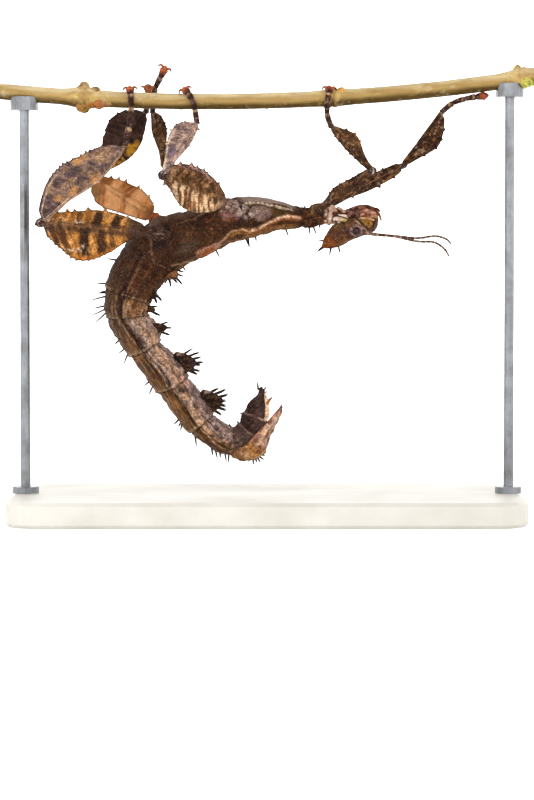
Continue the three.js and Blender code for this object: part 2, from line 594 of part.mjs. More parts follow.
function leg(name, data, trunkRoom, twigRoom) {
  const { hip, hipRadius, trochanter, knee, ankle, femur, tibia } = data;
  const size = name.startsWith("fore") ? 0.8 : 1;
  const thigh = [1.15 * size, 0.95 * size];
  const shin = [0.95 * size, 0.65 * size];
  const thighRoom = limb([trochanter, knee], thigh, { grow: GAP });
  const shinRoom = leafyLength(knee, ankle, tibia, shin, GAP);
  const ankleRoom = limb([ankle, data.foot[0]], [0.62, 0.55], { sides: 5, grow: GAP });
  const coxa = limb([hip, trochanter], [hipRadius, 1.35 * size]);
  const upper = leafyLength(trochanter, knee, femur, thigh);
  const lower = leafyLength(knee, ankle, tibia, shin);
  return [
    piece(`coxa_${name}`, cut(coxa, trunkRoom, thighRoom), LEG_BROWN),
    piece(`femur_${name}`, cut(upper, shinRoom, trunkRoom), LEG_BROWN),
    piece(`tibia_${name}`, cut(lower, ankleRoom, twigRoom), LEG_BROWN),
    piece(`foot_${name}`, cut(foot(ankle, data.foot), twigRoom), CLAW_RED),
  ];
}

// ---- The whole model ----
const insect = new THREE.Group();
const trunkRoom = join(...SEGMENTS.map(([, from, to, bulge]) => trunkLength(from, to, bulge, GAP)));
const twigRoom = twigBody(PERCH_GAP);
insect.add(...trunk(), ...tailPlates(), ...head());
insect.add(piece("feeler_left", feeler(-1), BROWN), piece("feeler_right", feeler(1), BROWN));
for (const [name, data] of Object.entries(LEGS)) insect.add(...leg(name, data, trunkRoom, twigRoom));

const model = new THREE.Group();
model.add(insect, twig(), ...stand());

export default model;
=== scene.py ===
"""Looks of the giant prickly stick insect on its display stand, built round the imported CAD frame.

All shapes are worked out in millimetres in the CAD frame (+X the way the head points, +Z up, the
insect's left side facing -Y) and turned into metres when a mesh is made. The insect's flesh is one
skin: each body part is a closed shell, and the shells are fused into a single surface.
"""

import math

import bpy
import numpy as np
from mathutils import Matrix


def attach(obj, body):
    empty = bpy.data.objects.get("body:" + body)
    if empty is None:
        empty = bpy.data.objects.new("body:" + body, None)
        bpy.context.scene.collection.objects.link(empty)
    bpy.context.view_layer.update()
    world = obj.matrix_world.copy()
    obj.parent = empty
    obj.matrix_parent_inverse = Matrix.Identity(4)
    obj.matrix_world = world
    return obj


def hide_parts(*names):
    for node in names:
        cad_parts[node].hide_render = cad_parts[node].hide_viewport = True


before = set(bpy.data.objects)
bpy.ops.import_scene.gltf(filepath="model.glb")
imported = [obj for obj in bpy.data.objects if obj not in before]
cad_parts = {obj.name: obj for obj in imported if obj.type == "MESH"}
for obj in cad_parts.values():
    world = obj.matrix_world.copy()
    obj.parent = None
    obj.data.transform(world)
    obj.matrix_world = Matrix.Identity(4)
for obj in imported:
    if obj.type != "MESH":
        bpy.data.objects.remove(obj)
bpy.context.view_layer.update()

MM = 0.001
SEED = 20
Y_AXIS = np.array((0.0, 1.0, 0.0))
TAU = 2 * math.pi
# The largest 32-bit number, and the odd numbers that scramble a cell's place into a random one.
MAX_32 = 0xFFFFFFFF
HASH = (374761393, 668265263, 2246822519, 3266489917)


# ---------------------------------------------------------------- numbers, noise and colour


def vec(*numbers):
    """A vector of the numbers given."""
    return np.array(numbers, float)


def unit(v):
    """v, or each row of v, at length 1."""
    return v / np.maximum(np.linalg.norm(v, axis=-1, keepdims=True), 1e-12)


def ease(x, low, high):
    """0 below low, 1 above high, and a smooth step between them. low may be above high."""
    t = np.clip((np.asarray(x, float) - low) / (high - low), 0, 1)
    return t * t * (3 - 2 * t)


def hump(x, middle, width):
    """A smooth hump of height 1 at middle."""
    return np.exp(-(((np.asarray(x, float) - middle) / width) ** 2))


def lattice(cells, seed):
    """A repeatable random number from 0 to 1 for each cell of a grid."""
    h = np.uint32(seed * HASH[3] & MAX_32)
    for k in range(3):
        h = h + (cells[..., k].astype(np.int64) & MAX_32).astype(np.uint32) * np.uint32(HASH[k])
    for shift, factor in ((15, HASH[2]), (13, HASH[3])):
        h = (h ^ (h >> np.uint32(shift))) * np.uint32(factor)
    return (h ^ (h >> np.uint32(16))) / float(MAX_32)


def noise(p, size, seed):
    """Smooth noise from -1 to 1 over points p, with lumps about size millimetres across."""
    q = p / np.asarray(size, float)
    cell = np.floor(q)
    f = q - cell
    f = f * f * (3 - 2 * f)
    total = 0
    for corner in np.ndindex(2, 2, 2):
        weight = np.prod(np.where(np.array(corner), f, 1 - f), axis=-1)
        total = total + weight * lattice(cell + np.array(corner), seed)
    return 2 * total - 1


def cloud(p, size, seed, octaves=3):
    """Noise with finer noise on top, roughly from -1 to 1."""
    size = np.asarray(size, float)
    parts = [noise(p, size / 2**k, seed + 17 * k) / 1.7**k for k in range(octaves)]
    return sum(parts) / 1.25


def granules(p, size, seed):
    """Rounded grains: 1 at the middle of a grain and 0 between grains."""
    q = p / size
    cell = np.floor(q)
    nearest = np.full(p.shape[:-1], 9.0)
    for step in np.ndindex(3, 3, 3):
        other = cell + np.array(step) - 1
        spot = other + np.stack([lattice(other, seed + k) for k in range(3)], axis=-1)
        nearest = np.minimum(nearest, np.linalg.norm(q - spot, axis=-1))
    return np.clip(1 - nearest / 0.75, 0, 1)


def shade(red, green, blue):
    """A colour given as 0 to 255 on a screen, as linear light."""
    c = np.array((red, green, blue)) / 255
    return np.where(c > 0.04045, ((c + 0.055) / 1.055) ** 2.4, c / 12.92)


def paint(colour, mask, other):
    """colour with other laid over it where mask is 1."""
    return colour + (other - colour) * np.clip(mask, 0, 1)[..., None]


def coats(colour, *layers):
    """colour with layers of (mask, tone) laid over it, one after the other."""
    for mask, tone in layers:
        colour = paint(colour, mask, tone)
    return colour


def uneven(tone, amount):
    """tone made lighter or darker from spot to spot by a share that varies."""
    return tone * (1 + amount[..., None])


def sheet(a, b):
    """Points of a flat sheet, for noise that is drawn along two directions of a surface."""
    return np.stack([a, b, 0 * a], -1)


UMBER = shade(84, 60, 47)
BLACKISH = shade(46, 33, 28)
OLIVE = shade(112, 94, 66)
RUST = shade(150, 84, 40)
TAN = shade(205, 166, 128)
CREAM = shade(232, 205, 172)
PINK = shade(206, 150, 134)


# ---------------------------------------------------------------- shells: closed grids of points


# Colours are given as they look in the studio, which lightens a surface by about this much.
HAZE = 0.013
GAIN = 1.12
DARKEST = 0.002
PATCH_GAP = 0.6  # millimetres between two flat patches


class Shell:
    """A closed skin over a grid of points: rows run along the part, columns round it."""

    def __init__(self, points, colour, fleck=0.5, gloss=0.4):
        self.points = points
        shape = points.shape[:2]
        pigment = (np.clip(colour, 0, 1) - HAZE) / GAIN
        self.colour = np.broadcast_to(np.clip(pigment, DARKEST, 1), shape + (3,))
        self.fleck = np.broadcast_to(np.clip(fleck, 0, 1), shape)
        self.gloss = np.broadcast_to(np.clip(gloss, 0, 1), shape)
        self.steps = np.linalg.norm(np.diff(points, axis=0), axis=-1).mean(axis=1)
        self.length = float(self.steps.sum())
        ahead = np.roll(points, -1, axis=1)
        self.girth = float(np.linalg.norm(ahead - points, axis=-1).sum(axis=1).max())
        self.corner = (0.0, 0.0)

    def faces(self):
        """The quads between the rows, and the rings that close the first and the last row."""
        rows, columns = self.points.shape[:2]
        r, c = np.meshgrid(np.arange(rows - 1) * columns, np.arange(columns), indexing="ij")
        d = (c + 1) % columns
        quads = np.stack([r + c, r + d, r + columns + d, r + columns + c], -1).reshape(-1, 4)
        first = np.arange(columns)
        last = (rows - 1) * columns + first
        if self.inside_out(quads):
            return quads[:, ::-1], first, last[::-1]
        return quads, first[::-1], last

    def inside_out(self, quads):
        """Whether the volume inside the quads, as they are wound, comes out negative."""
        flat = self.points.reshape(-1, 3)
        flat = flat - flat.mean(axis=0)
        a, b, c, d = (flat[quads[:, k]] for k in range(4))
        return (np.cross(a, b) * c).sum() + (np.cross(a, c) * d).sum() < 0

    def unwrap(self):
        """Where rows and columns lie on the shell's own flat patch, in mm, with the seam column twice."""
        along = np.concatenate([[0], self.steps.cumsum()])
        return along, np.linspace(0, self.girth, self.points.shape[1] + 1)


def pack_patches(shells, gap=PATCH_GAP):
    """Lays the shells' flat patches out in shelves on a square, and returns the square's side."""
    order = sorted(shells, key=lambda s: -s.girth)
    side = math.sqrt(sum((s.length + gap) * (s.girth + gap) for s in shells)) * 1.02
    while True:
        x = y = shelf = 0.0
        for s in order:
            if x + s.length + gap > side:
                x, y, shelf = 0.0, y + shelf, 0.0
            s.corner = (x, y)
            x += s.length + gap
            shelf = max(shelf, s.girth + gap)
        if y + shelf <= side:
            return side
        side *= 1.03


def new_object(name, data):
    made = bpy.data.objects.new(name, data)
    bpy.context.scene.collection.objects.link(made)
    return made


def shell_object(name, shell, side):
    """One shell as a Blender mesh with its paint, its flat patch and a mark on each point."""
    quads, first, last = shell.faces()
    rows, columns = shell.points.shape[:2]
    flat = shell.points.reshape(-1, 3)
    mesh = bpy.data.meshes.new(name)
    corners = np.concatenate([quads.ravel(), first, last])
    sizes = np.concatenate([np.full(len(quads), 4), [columns, columns]])
    mesh.vertices.add(len(flat))
    mesh.vertices.foreach_set("co", (flat * MM).ravel())
    mesh.loops.add(len(corners))
    mesh.loops.foreach_set("vertex_index", corners.astype(np.int32))
    mesh.polygons.add(len(sizes))
    starts = np.concatenate([[0], sizes.cumsum()[:-1]])
    mesh.polygons.foreach_set("loop_start", starts.astype(np.int32))
    mesh.update(calc_edges=True)
    along, round_ = shell.unwrap()
    row, column = corners // columns, corners % columns
    wraps = np.zeros(len(corners), bool)
    face_columns = column[: quads.size].reshape(-1, 4)
    crossing = (face_columns.max(axis=1) - face_columns.min(axis=1)) == columns - 1
    wraps[: quads.size] = (crossing[:, None] & (face_columns == 0)).ravel()
    u = (shell.corner[0] + along[row]) / side
    v = (shell.corner[1] + round_[np.where(wraps, columns, column)]) / side
    layer = mesh.uv_layers.new(name="OFBake")
    layer.data.foreach_set("uv", np.stack([u, v], -1).astype(np.float32).ravel())
    layers = {
        "pigment": np.concatenate([shell.colour, np.ones((rows, columns, 1))], -1),
        "fleck": shell.fleck,
        "gloss": shell.gloss,
        "known": np.ones((rows, columns)),
    }
    for label, values in layers.items():
        put_attribute(mesh, label, values.reshape(rows * columns, -1))
    return new_object(name, mesh)


def put_attribute(mesh, name, values):
    """Sets a point attribute: a colour if values has rows of 4, a plain value if it has rows of 1."""
    kind, field = ("FLOAT_COLOR", "color") if values.shape[1] == 4 else ("FLOAT", "value")
    layer = mesh.attributes.get(name) or mesh.attributes.new(name, kind, "POINT")
    layer.data.foreach_set(field, values.astype(np.float32).ravel())


def get_attribute(mesh, name, width=1):
    """A point attribute as rows of width numbers: 4 for a colour, 1 for a plain value."""
    values = np.zeros(len(mesh.vertices) * width, np.float32)
    mesh.attributes[name].data.foreach_get("value" if width == 1 else "color", values)
    return values.reshape(-1, width)


def fuse(name, shells, soften=2):
    """All shells as one closed surface. Points made where shells meet take their neighbours' paint,
    and the creases between shells are softened a little."""
    side = pack_patches(shells)
    parts = [shell_object(f"{name}_{i}", s, side) for i, s in enumerate(shells)]
    first, rest = parts[0], parts[1:]
    if rest:
        group = bpy.data.collections.new(name + "_parts")
        bpy.context.scene.collection.children.link(group)
        for o in rest:
            group.objects.link(o)
        join = first.modifiers.new("join", "BOOLEAN")
        join.operation, join.operand_type = "UNION", "COLLECTION"
        join.solver, join.collection = "MANIFOLD", group
    bpy.context.view_layer.update()
    joined = first.evaluated_get(bpy.context.evaluated_depsgraph_get())
    mesh = bpy.data.meshes.new_from_object(joined)
    for o in parts:
        old = o.data
        bpy.data.objects.remove(o)
        bpy.data.meshes.remove(old)
    mesh.name = name
    # points that the union made carry no mark, or plain white instead of paint
    known = get_attribute(mesh, "known")[:, 0] > 0.5
    known &= ~(get_attribute(mesh, "pigment", 4)[:, :3] > 0.999).all(axis=1)
    edges = np.zeros(len(mesh.edges) * 2, np.int32)
    mesh.edges.foreach_get("vertices", edges)
    edges = edges.reshape(-1, 2)
    for label, width in (("pigment", 4), ("fleck", 1), ("gloss", 1)):
        put_attribute(mesh, label, spread(get_attribute(mesh, label, width), known, edges))
    soften_creases(mesh, known, edges, soften)
    mesh.attributes.remove(mesh.attributes["known"])
    mesh.shade_smooth()
    return new_object(name, mesh)


def neighbour_sums(values, weight, edges):
    """The weighted sum of the values at each point's neighbours, and the sum of their weights."""
    total = np.zeros_like(values, dtype=float)
    count = np.zeros(len(values))
    for a, b in ((0, 1), (1, 0)):
        w = weight[edges[:, b]]
        np.add.at(total, edges[:, a], values[edges[:, b]] * w[:, None])
        np.add.at(count, edges[:, a], w)
    return total, count


def spread(values, known, edges):
    """values, with those of unknown points filled in from the points they are joined to."""
    values, done = values.astype(float), known.astype(float)
    for _ in range(6):
        total, count = neighbour_sums(values, done, edges)
        fill = (done == 0) & (count > 0)
        values[fill] = total[fill] / count[fill][:, None]
        done[fill] = 1
    return values


def soften_creases(mesh, known, edges, rounds):
    """Moves the points on and beside the lines where shells meet towards their neighbours."""
    co = np.zeros(len(mesh.vertices) * 3, np.float32)
    mesh.vertices.foreach_get("co", co)
    co = co.reshape(-1, 3).astype(float)
    near = (~known).astype(float)
    for _ in range(2):
        total, count = neighbour_sums(near[:, None], np.ones(len(near)), edges)
        near = np.maximum(near, 0.6 * total[:, 0] / np.maximum(count, 1))
    for _ in range(rounds):
        total, count = neighbour_sums(co, np.ones(len(near)), edges)
        mean = total / np.maximum(count, 1)[:, None]
        co += (mean - co) * (0.5 * near)[:, None]
    mesh.vertices.foreach_set("co", co.astype(np.float32).ravel())
    mesh.update()


# ---------------------------------------------------------------- curves


def spline(points, count):
    """count points along a smooth curve through points, and the place of each, counted in points."""
    p = np.asarray(points, float)
    ends = np.concatenate([[2 * p[0] - p[1]], p, [2 * p[-1] - p[-2]]])
    place = np.linspace(0, len(p) - 1, count)
    i = np.minimum(place.astype(int), len(p) - 2)
    w = (place - i)[:, None]
    p0, p1, p2, p3 = (ends[i + k] for k in range(4))
    d0, d1, d2 = (
        np.maximum(np.sqrt(np.linalg.norm(b - a, axis=-1, keepdims=True)), 1e-4)
        for a, b in ((p0, p1), (p1, p2), (p2, p3))
    )
    m1 = ((p1 - p0) / d0 - (p2 - p0) / (d0 + d1) + (p2 - p1) / d1) * d1
    m2 = ((p2 - p1) / d1 - (p3 - p1) / (d1 + d2) + (p3 - p2) / d2) * d1
    here = p1 + m1 * w + (3 * (p2 - p1) - 2 * m1 - m2) * w**2 + (2 * (p1 - p2) + m1 + m2) * w**3
    return here, place


def even(points, values, spacing):
    """points and values resampled at even steps of about spacing, and how far along each step is."""
    s = np.concatenate([[0], np.linalg.norm(np.diff(points, axis=0), axis=-1).cumsum()])
    t = np.linspace(0, s[-1], max(4, int(s[-1] / spacing)) + 1)
    pick = lambda a: np.stack([np.interp(t, s, a[:, k]) for k in range(a.shape[1])], -1)
    return pick(points), np.interp(t, s, values), t


def turning_frames(centres):
    """The directions along a line of points, and two directions across it that turn as little as can be."""
    along = unit(np.gradient(centres, axis=0))
    side = np.zeros_like(centres)
    hint = vec(0.31, 0.93, 0.17)
    for i, a in enumerate(along):
        hint = unit(hint - a * hint.dot(a))
        side[i] = hint
    return along, side, np.cross(along, side)


def round_ends(t, length, radius):
    """How much of a tube's radius is left near its two ends, so that it closes like a fingertip."""
    reach = np.maximum(radius, 0.15)
    head = np.clip(t / reach[0], 0.02, 1)
    tail = np.clip((length - t) / reach[-1], 0.02, 1)
    return np.sqrt(1 - (1 - head) ** 2) * np.sqrt(1 - (1 - tail) ** 2)


def tube(points, radii, sides=20, spacing=0.3, flatten=1.0):
    """A tube through points, flattened one way if asked, and for each of its points the place along it,
    the turn round it and the way out of it."""
    fine, place = spline(points, 40 * len(points))
    centres, place, t = even(fine, place, spacing)
    radius = np.interp(place, np.arange(len(radii)), radii)
    radius = radius * round_ends(t, t[-1], radius)
    _, side, other = turning_frames(centres)
    turn = np.linspace(0, TAU, sides, endpoint=False)
    cos, sin = np.cos(turn)[None, :, None], np.sin(turn)[None, :, None]
    out = side[:, None] * cos + other[:, None] * sin * flatten
    grid = centres[:, None] + out * radius[:, None, None]
    return grid, np.broadcast_to(place[:, None], grid.shape[:2]), np.broadcast_to(turn, grid.shape[:2]), out


# ---------------------------------------------------------------- the trunk

# Each station: the middle of the body, its half depth from back to belly, its half width.
TRUNK = [
    (18.3, 72.4, 1.7, 1.6),  # 0 neck at the head
    (13.9, 72.6, 2.2, 2.0),  # 1 front of the prothorax
    (8.4, 72.0, 2.3, 2.3),  # 2 front of the mesothorax
    (2.2, 72.6, 3.7, 3.1),
    (-3.6, 72.3, 5.1, 4.4),
    (-9.4, 71.1, 5.1, 5.0),  # 5 front of the metathorax
    (-15.9, 68.6, 5.6, 5.4),
    (-23.9, 65.6, 6.8, 5.8),  # 7 front of the abdomen
    (-29.3, 61.0, 6.7, 6.2),
    (-33.3, 53.6, 5.6, 6.8),
    (-33.4, 48.3, 4.9, 7.0),
    (-29.2, 40.7, 4.0, 7.2),
    (-22.6, 32.1, 4.1, 7.4),
    (-15.5, 22.7, 3.5, 6.2),
    (-8.6, 18.7, 3.4, 4.8),  # 14 front of the upturned tail
    (-4.7, 21.2, 2.6, 3.8),
    (-3.0, 24.8, 2.8, 3.2),
    (-1.3, 31.6, 0.5, 0.6),  # 17 tip of the last segment
]
KEEL = 0.14  # how far the side ridge stands out, as a share of the half width
CRESTS = {9: 0.6, 10: 1.3, 11: 0.9, 12: 1.0}  # how far the back rises under a comb, by place
TRUNK_SPACING = 0.24
TRUNK_SIDES = 144
BEAD_PITCH = 0.95  # along the ridges of the thorax
GROOVE_PITCH = 0.9  # between the fine grooves along the abdomen's sides
LAST = len(TRUNK) - 1


def trunk_line():
    """The trunk's middle line: points, places and arc length."""
    fine, place = spline([(x, 0, z) for x, z, _, _ in TRUNK], 100 * LAST + 1)
    return even(fine, place, TRUNK_SPACING)


def trunk_sizes(place):
    """Half depth and half width at each place, eased between the stations."""
    stations = np.arange(len(TRUNK))
    reach = np.clip(np.minimum(place, LAST - place), 0, 0.35)
    sizes = []
    for k in (2, 3):
        table = [station[k] for station in TRUNK]
        spots = [np.interp(place + shift * reach, stations, table) for shift in (-1, 0, 1)]
        sizes.append((spots[0] + 2 * spots[1] + spots[2]) / 4)
    return sizes


def crest(place):
    """How far the back rises from the front of a segment to its comb, before it drops at the end."""
    start = np.floor(place)
    phase = place - start
    tall = sum(height * (start == at) for at, height in CRESTS.items())
    return tall * ease(phase, 0.05, 0.6) * ease(phase, 1.0, 0.86)


class Body:
    """The trunk's surface before any detail, with the coordinates that the detail is drawn in."""

    def __init__(self):
        self.centres, self.row_place, self.arc = trunk_line()
        self.along = unit(np.gradient(self.centres, axis=0))
        self.back = unit(np.cross(self.along, Y_AXIS))
        self.deep, self.wide = trunk_sizes(self.row_place)
        turn = np.linspace(0, TAU, TRUNK_SIDES, endpoint=False)
        shape = (len(self.arc), TRUNK_SIDES)
        self.turn = np.broadcast_to(turn, shape)
        self.place = np.broadcast_to(self.row_place[:, None], shape)
        self.s = np.broadcast_to(self.arc[:, None], shape)
        # degrees from the middle of the back, the same on both sides
        self.tau = np.degrees(np.minimum(self.turn, TAU - self.turn))
        self.radius = np.broadcast_to(((self.deep + self.wide) / 2)[:, None], shape)
        self.points, self.out = self.surface(0)

    def surface(self, lift):
        """The skin moved out by lift millimetres, and the ways out of it."""
        c, s = np.cos(self.turn)[..., None], np.sin(self.turn)[..., None]
        s = s * (1 + KEEL * np.sin(self.turn)[..., None] ** 8)
        rise = crest(self.row_place)[:, None, None] * np.clip(c, 0, 1) ** 2
        height = self.deep[:, None, None] * c + rise
        offset = self.back[:, None] * height + Y_AXIS * self.wide[:, None, None] * s
        out = unit(offset)
        return self.centres[:, None] + offset + out * np.asarray(lift)[..., None], out

    def spot(self, place, degrees, lift=0.0):
        """A spot on the skin, and the direction out of it. Turn 0 is the back and 90 the right side."""
        centre = self.at(place, self.centres)
        back = unit(self.at(place, self.back))
        deep, wide = (np.interp(place, self.row_place, v) for v in (self.deep, self.wide))
        turn = math.radians(degrees)
        side = math.sin(turn) * (1 + KEEL * math.sin(turn) ** 8)
        rise = float(crest(np.array(place))) * max(math.cos(turn), 0) ** 2
        offset = back * (deep * math.cos(turn) + rise) + Y_AXIS * wide * side
        return centre + offset + unit(offset) * lift, unit(offset)

    def at(self, place, rows):
        """The vector that a table with one vector for each row has at a place."""
        return np.array([np.interp(place, self.row_place, rows[:, k]) for k in range(3)])

    def direction(self, place):
        """The direction along the body, towards the tail."""
        return unit(self.at(place, self.along))

    def near(self, path, width, waver=0.25, seed=3):
        """1 on a line of (place, degrees from the back) spots, falling off over width millimetres."""
        arc = np.interp([p for p, _ in path], self.row_place, self.arc)
        s = self.s + waver * noise(self.points, 1.6, SEED + seed)
        v = np.radians(self.tau) * self.radius + waver * noise(self.points, 1.6, SEED + seed + 1)
        best = np.full(s.shape, 99.0)
        spots = [
            np.stack([np.full(s.shape, at), math.radians(degrees) * self.radius], -1)
            for at, (_, degrees) in zip(arc, path)
        ]
        for a, b in zip(spots, spots[1:]):
            q, ab = np.stack([s, v], -1) - a, b - a
            t = np.clip((q * ab).sum(-1) / np.maximum((ab * ab).sum(-1), 1e-9), 0, 1)
            best = np.minimum(best, np.linalg.norm(q - ab * t[..., None], axis=-1))
        return np.exp(-((best / width) ** 2))

    def grain_lines(self):
        """Fine streaks along the body, from -1 to 1."""
        return cloud(sheet(self.s * 0.34, np.radians(self.tau) * self.radius * 1.5), 1.0, SEED + 30, 2)

    def grains(self):
        """The rounded grains of the back plates."""
        return granules(self.points, 0.7, SEED + 43)

    def beads(self):
        """Beads along the body: 1 on a bead, 0 between two."""
        return 0.5 + 0.5 * np.sin(self.s * TAU / BEAD_PITCH + 2.5 * noise(self.points, 2, SEED))

    def neck_folds(self):
        """The folds of the neck's skin: above 0 on a fold, below 0 in a crease."""
        return 5 * np.abs(noise(self.points, (1.0, 1.4, 0.9), SEED + 40)) - 0.9

    def side_grooves(self):
        """The fine grooves along the abdomen's sides, from -1 in a groove to 1, and where they show."""
        wave = np.cos(np.radians(self.tau) * self.radius * TAU / GROOVE_PITCH)
        return wave, hump(self.tau, 98, 16) * ease(self.place, 8.3, 9) * ease(self.place, 13, 12)

    def patch(self, place, degrees, length, breadth, seed=5):
        """A soft-edged patch round a spot: length and breadth are its half sizes in millimetres."""
        arc = np.interp(place, self.row_place, self.arc)
        ds = (self.s - arc) / length
        dv = (np.radians(self.tau - degrees) * self.radius) / breadth
        edge = 0.35 * cloud(self.points, 1.8, SEED + seed)
        return ease(np.hypot(ds, dv) + edge, 1.15, 0.75)


def moved(path, degrees):
    """A line on the trunk moved down its side by some degrees."""
    return [(at, turn + degrees) for at, turn in path]


# Lines on each side of the trunk, as (place, degrees from the middle of the back).
NOTUM_EDGE = [(2.1, 92), (2.75, 84), (3.15, 70), (3.5, 57), (4.2, 50)]
WING_PAD_EDGE = [(5.4, 46), (5.05, 58), (4.5, 61), (4.2, 50)]
BEADED_RIDGE = [(2.4, 124), (3.0, 125), (3.7, 127), (4.2, 130)]
METATHORAX_FOLD = [(6.5, 124), (6.0, 128), (5.6, 132), (5.2, 132)]
METATHORAX_EDGE = [(7.25, 46), (6.8, 32), (6.35, 19)]
FIRST_SUTURE = [(7.3, 116), (7.5, 96), (7.7, 76), (7.5, 40)]
# Where back plates meet belly plates: a path, the dark fold's half width and strength, and the
# pale lines beside it as (degrees away, strength).
SIDE_FOLDS = [
    ([(7.8, 106), (8.3, 100), (8.97, 98)], 0.6, 0.8, [(-8, 0.15)]),
    ([(9.02, 102), (9.5, 104), (9.98, 102)], 1.15, 0.8, [(-12, 0.75), (13, 0.3)]),
    ([(10.08, 96), (10.5, 92), (10.97, 88)], 1.0, 0.95, [(13, 0.5)]),
    ([(11.05, 90), (11.6, 84), (11.95, 92)], 0.45, 0.75, [(-9, 0.8), (9, 0.7)]),
    ([(12.1, 100), (12.4, 92), (12.95, 106)], 0.4, 0.7, [(-8, 0.5)]),
    ([(13.05, 110), (13.5, 122), (13.95, 136)], 0.35, 0.6, [(-7, 0.8)]),
]
# How much later the seam before a place lies, at the back, the side and the belly.
SEAM_SHIFTS = {
    8: (0.1, 0.0, -0.05), 9: (0.22, 0.06, -0.04), 10: (0.25, 0.0, -0.14), 11: (0.05, 0.05, -0.06),
    12: (0.05, 0.06, -0.08), 13: (0.05, 0.0, -0.06), 14: (0.45, 0.1, -0.05), 15: (-0.04, 0.0, 0.02),
    16: (-0.05, -0.04, -0.1),
}


def segment_phase(body):
    """How far each spot is through its own segment, 0 to 1, and the segment's first place."""
    waver = 0.02 * noise(body.points, 1.5, SEED + 4)
    seams = [at + np.interp(body.tau, (0, 90, 180), shift) + waver for at, shift in SEAM_SHIFTS.items()]
    seams = [seams[0] - 1, *seams, seams[-1] + 1.2]
    number = np.full(body.place.shape, 7.0)
    phase = (body.place - seams[0]) / (seams[1] - seams[0])
    for at, before, after in zip(SEAM_SHIFTS, seams[1:-1], seams[2:]):
        past = body.place >= before
        number = np.where(past, at, number)
        phase = np.where(past, (body.place - before) / (after - before), phase)
    return np.clip(phase, 0, 1), number


def trunk_relief(body):
    """How far the detailed skin stands out of the plain one, in millimetres."""
    p, tau, x = body.place, body.tau, body.points
    phase, _ = segment_phase(body)
    on_abdomen = ease(p, 7.6, 8.3) * ease(p, 16.9, 16.4)
    back_plate = ease(tau, 96, 84) * ease(p, 7.5, 8.5)
    lift = np.zeros(p.shape)
    # each plate widens backwards, most at its side corners, and overlaps the next with a thin lip
    corner = 1 + 0.9 * hump(tau, 78, 20) * ease(p, 16, 14)
    flare = -0.16 + 0.42 * corner * phase**2.2 - 0.26 * hump(phase, 0.0, 0.035) * ease(p, 16, 14)
    lift += on_abdomen * flare
    # the fold between back and belly plates is sunk, with raised edges
    for path, width, amount, rims in SIDE_FOLDS:
        lift -= 0.42 * amount * body.near(path, width)
        for away, strength in rims:
            lift += 0.26 * strength * body.near(moved(path, away), 0.3)
    lift -= 0.8 * body.patch(12.16, 70, 1.0, 0.55)
    lift += 0.35 * body.patch(12.1, 44, 1.5, 1.3)
    beads = body.beads()
    lift += 0.42 * body.near(NOTUM_EDGE, 0.42) * (0.7 + 0.3 * beads)
    lift += 0.30 * body.near(WING_PAD_EDGE, 0.35)
    lift += 0.42 * body.near(BEADED_RIDGE, 0.4) * beads
    lift += 0.20 * body.near(METATHORAX_FOLD, 0.4) + 0.20 * body.near(METATHORAX_EDGE, 0.35)
    lift += 0.22 * body.near(FIRST_SUTURE, 0.35)
    lift += 0.30 * np.clip(body.patch(4.75, 40, 3.6, 1.6) + body.patch(5.95, 34, 3.4, 1.7), 0, 1)
    # the thorax: plates on its sides, hollows between them, muscles of the leg bases
    lift += 0.35 * body.patch(3.6, 100, 2.4, 1.8) - 0.40 * body.patch(2.9, 104, 2.2, 1.4)
    lift += 0.9 * body.patch(4.75, 112, 2.6, 2.4) - 0.4 * body.patch(5.5, 98, 2.4, 2.2)
    lift += 0.5 * body.patch(6.4, 98, 3.2, 2.4) + 0.6 * body.patch(7.0, 140, 2.2, 2.4)
    lift -= 0.5 * hump(p, 2.02, 0.10) * ease(tau, 175, 60) + 0.35 * hump(p, 1.0, 0.12)
    neck = ease(p, 1.05, 0.85)
    folds = body.neck_folds()
    lift += neck * (0.45 * np.clip(folds, -1, 0.7) + 0.2 * cloud(x, 0.9, SEED + 39))
    rough = ease(p, 2.6, 1.9) * ease(p, 0.8, 1.1)
    lift += rough * (0.25 * granules(x, 0.9, SEED + 41) + 0.2 * cloud(x, 2.0, SEED + 38))
    # lumps everywhere, grains on the back plates, creases across the belly plates
    lift += 0.20 * cloud(x, 1.8, SEED + 42) + 0.20 * back_plate * body.grains()
    lift += 0.12 * on_abdomen * body.grain_lines()
    wave, side = body.side_grooves()
    lift += 0.14 * wave * side
    creases = noise(sheet(body.s * 1.3, tau / 45), 1.0, SEED + 44)
    lift += 0.14 * ease(tau, 96, 120) * ease(p, 7.5, 8.5) * creases
    slants = np.sin((body.s * 0.9 + body.tau * 0.09) * 2.0 + 2.5 * noise(x, 3, SEED + 45))
    lift += 0.08 * ease(p, 2.2, 3) * ease(p, 7.5, 7) * slants
    belly_side = ease(tau, 60, 130)
    lift += (0.2 + 0.5 * belly_side) * (hump(p, 16.35, 0.35) + hump(p, 15.5, 0.45))
    lift -= 0.9 * hump(p, 16.72, 0.16) * ease(tau, 110, 50)
    smooth_belly = ease(tau, 132, 142) * ease(p, 2.3, 2.6) * ease(p, 4.6, 4.2)
    return lift * (1 - 0.7 * smooth_belly)


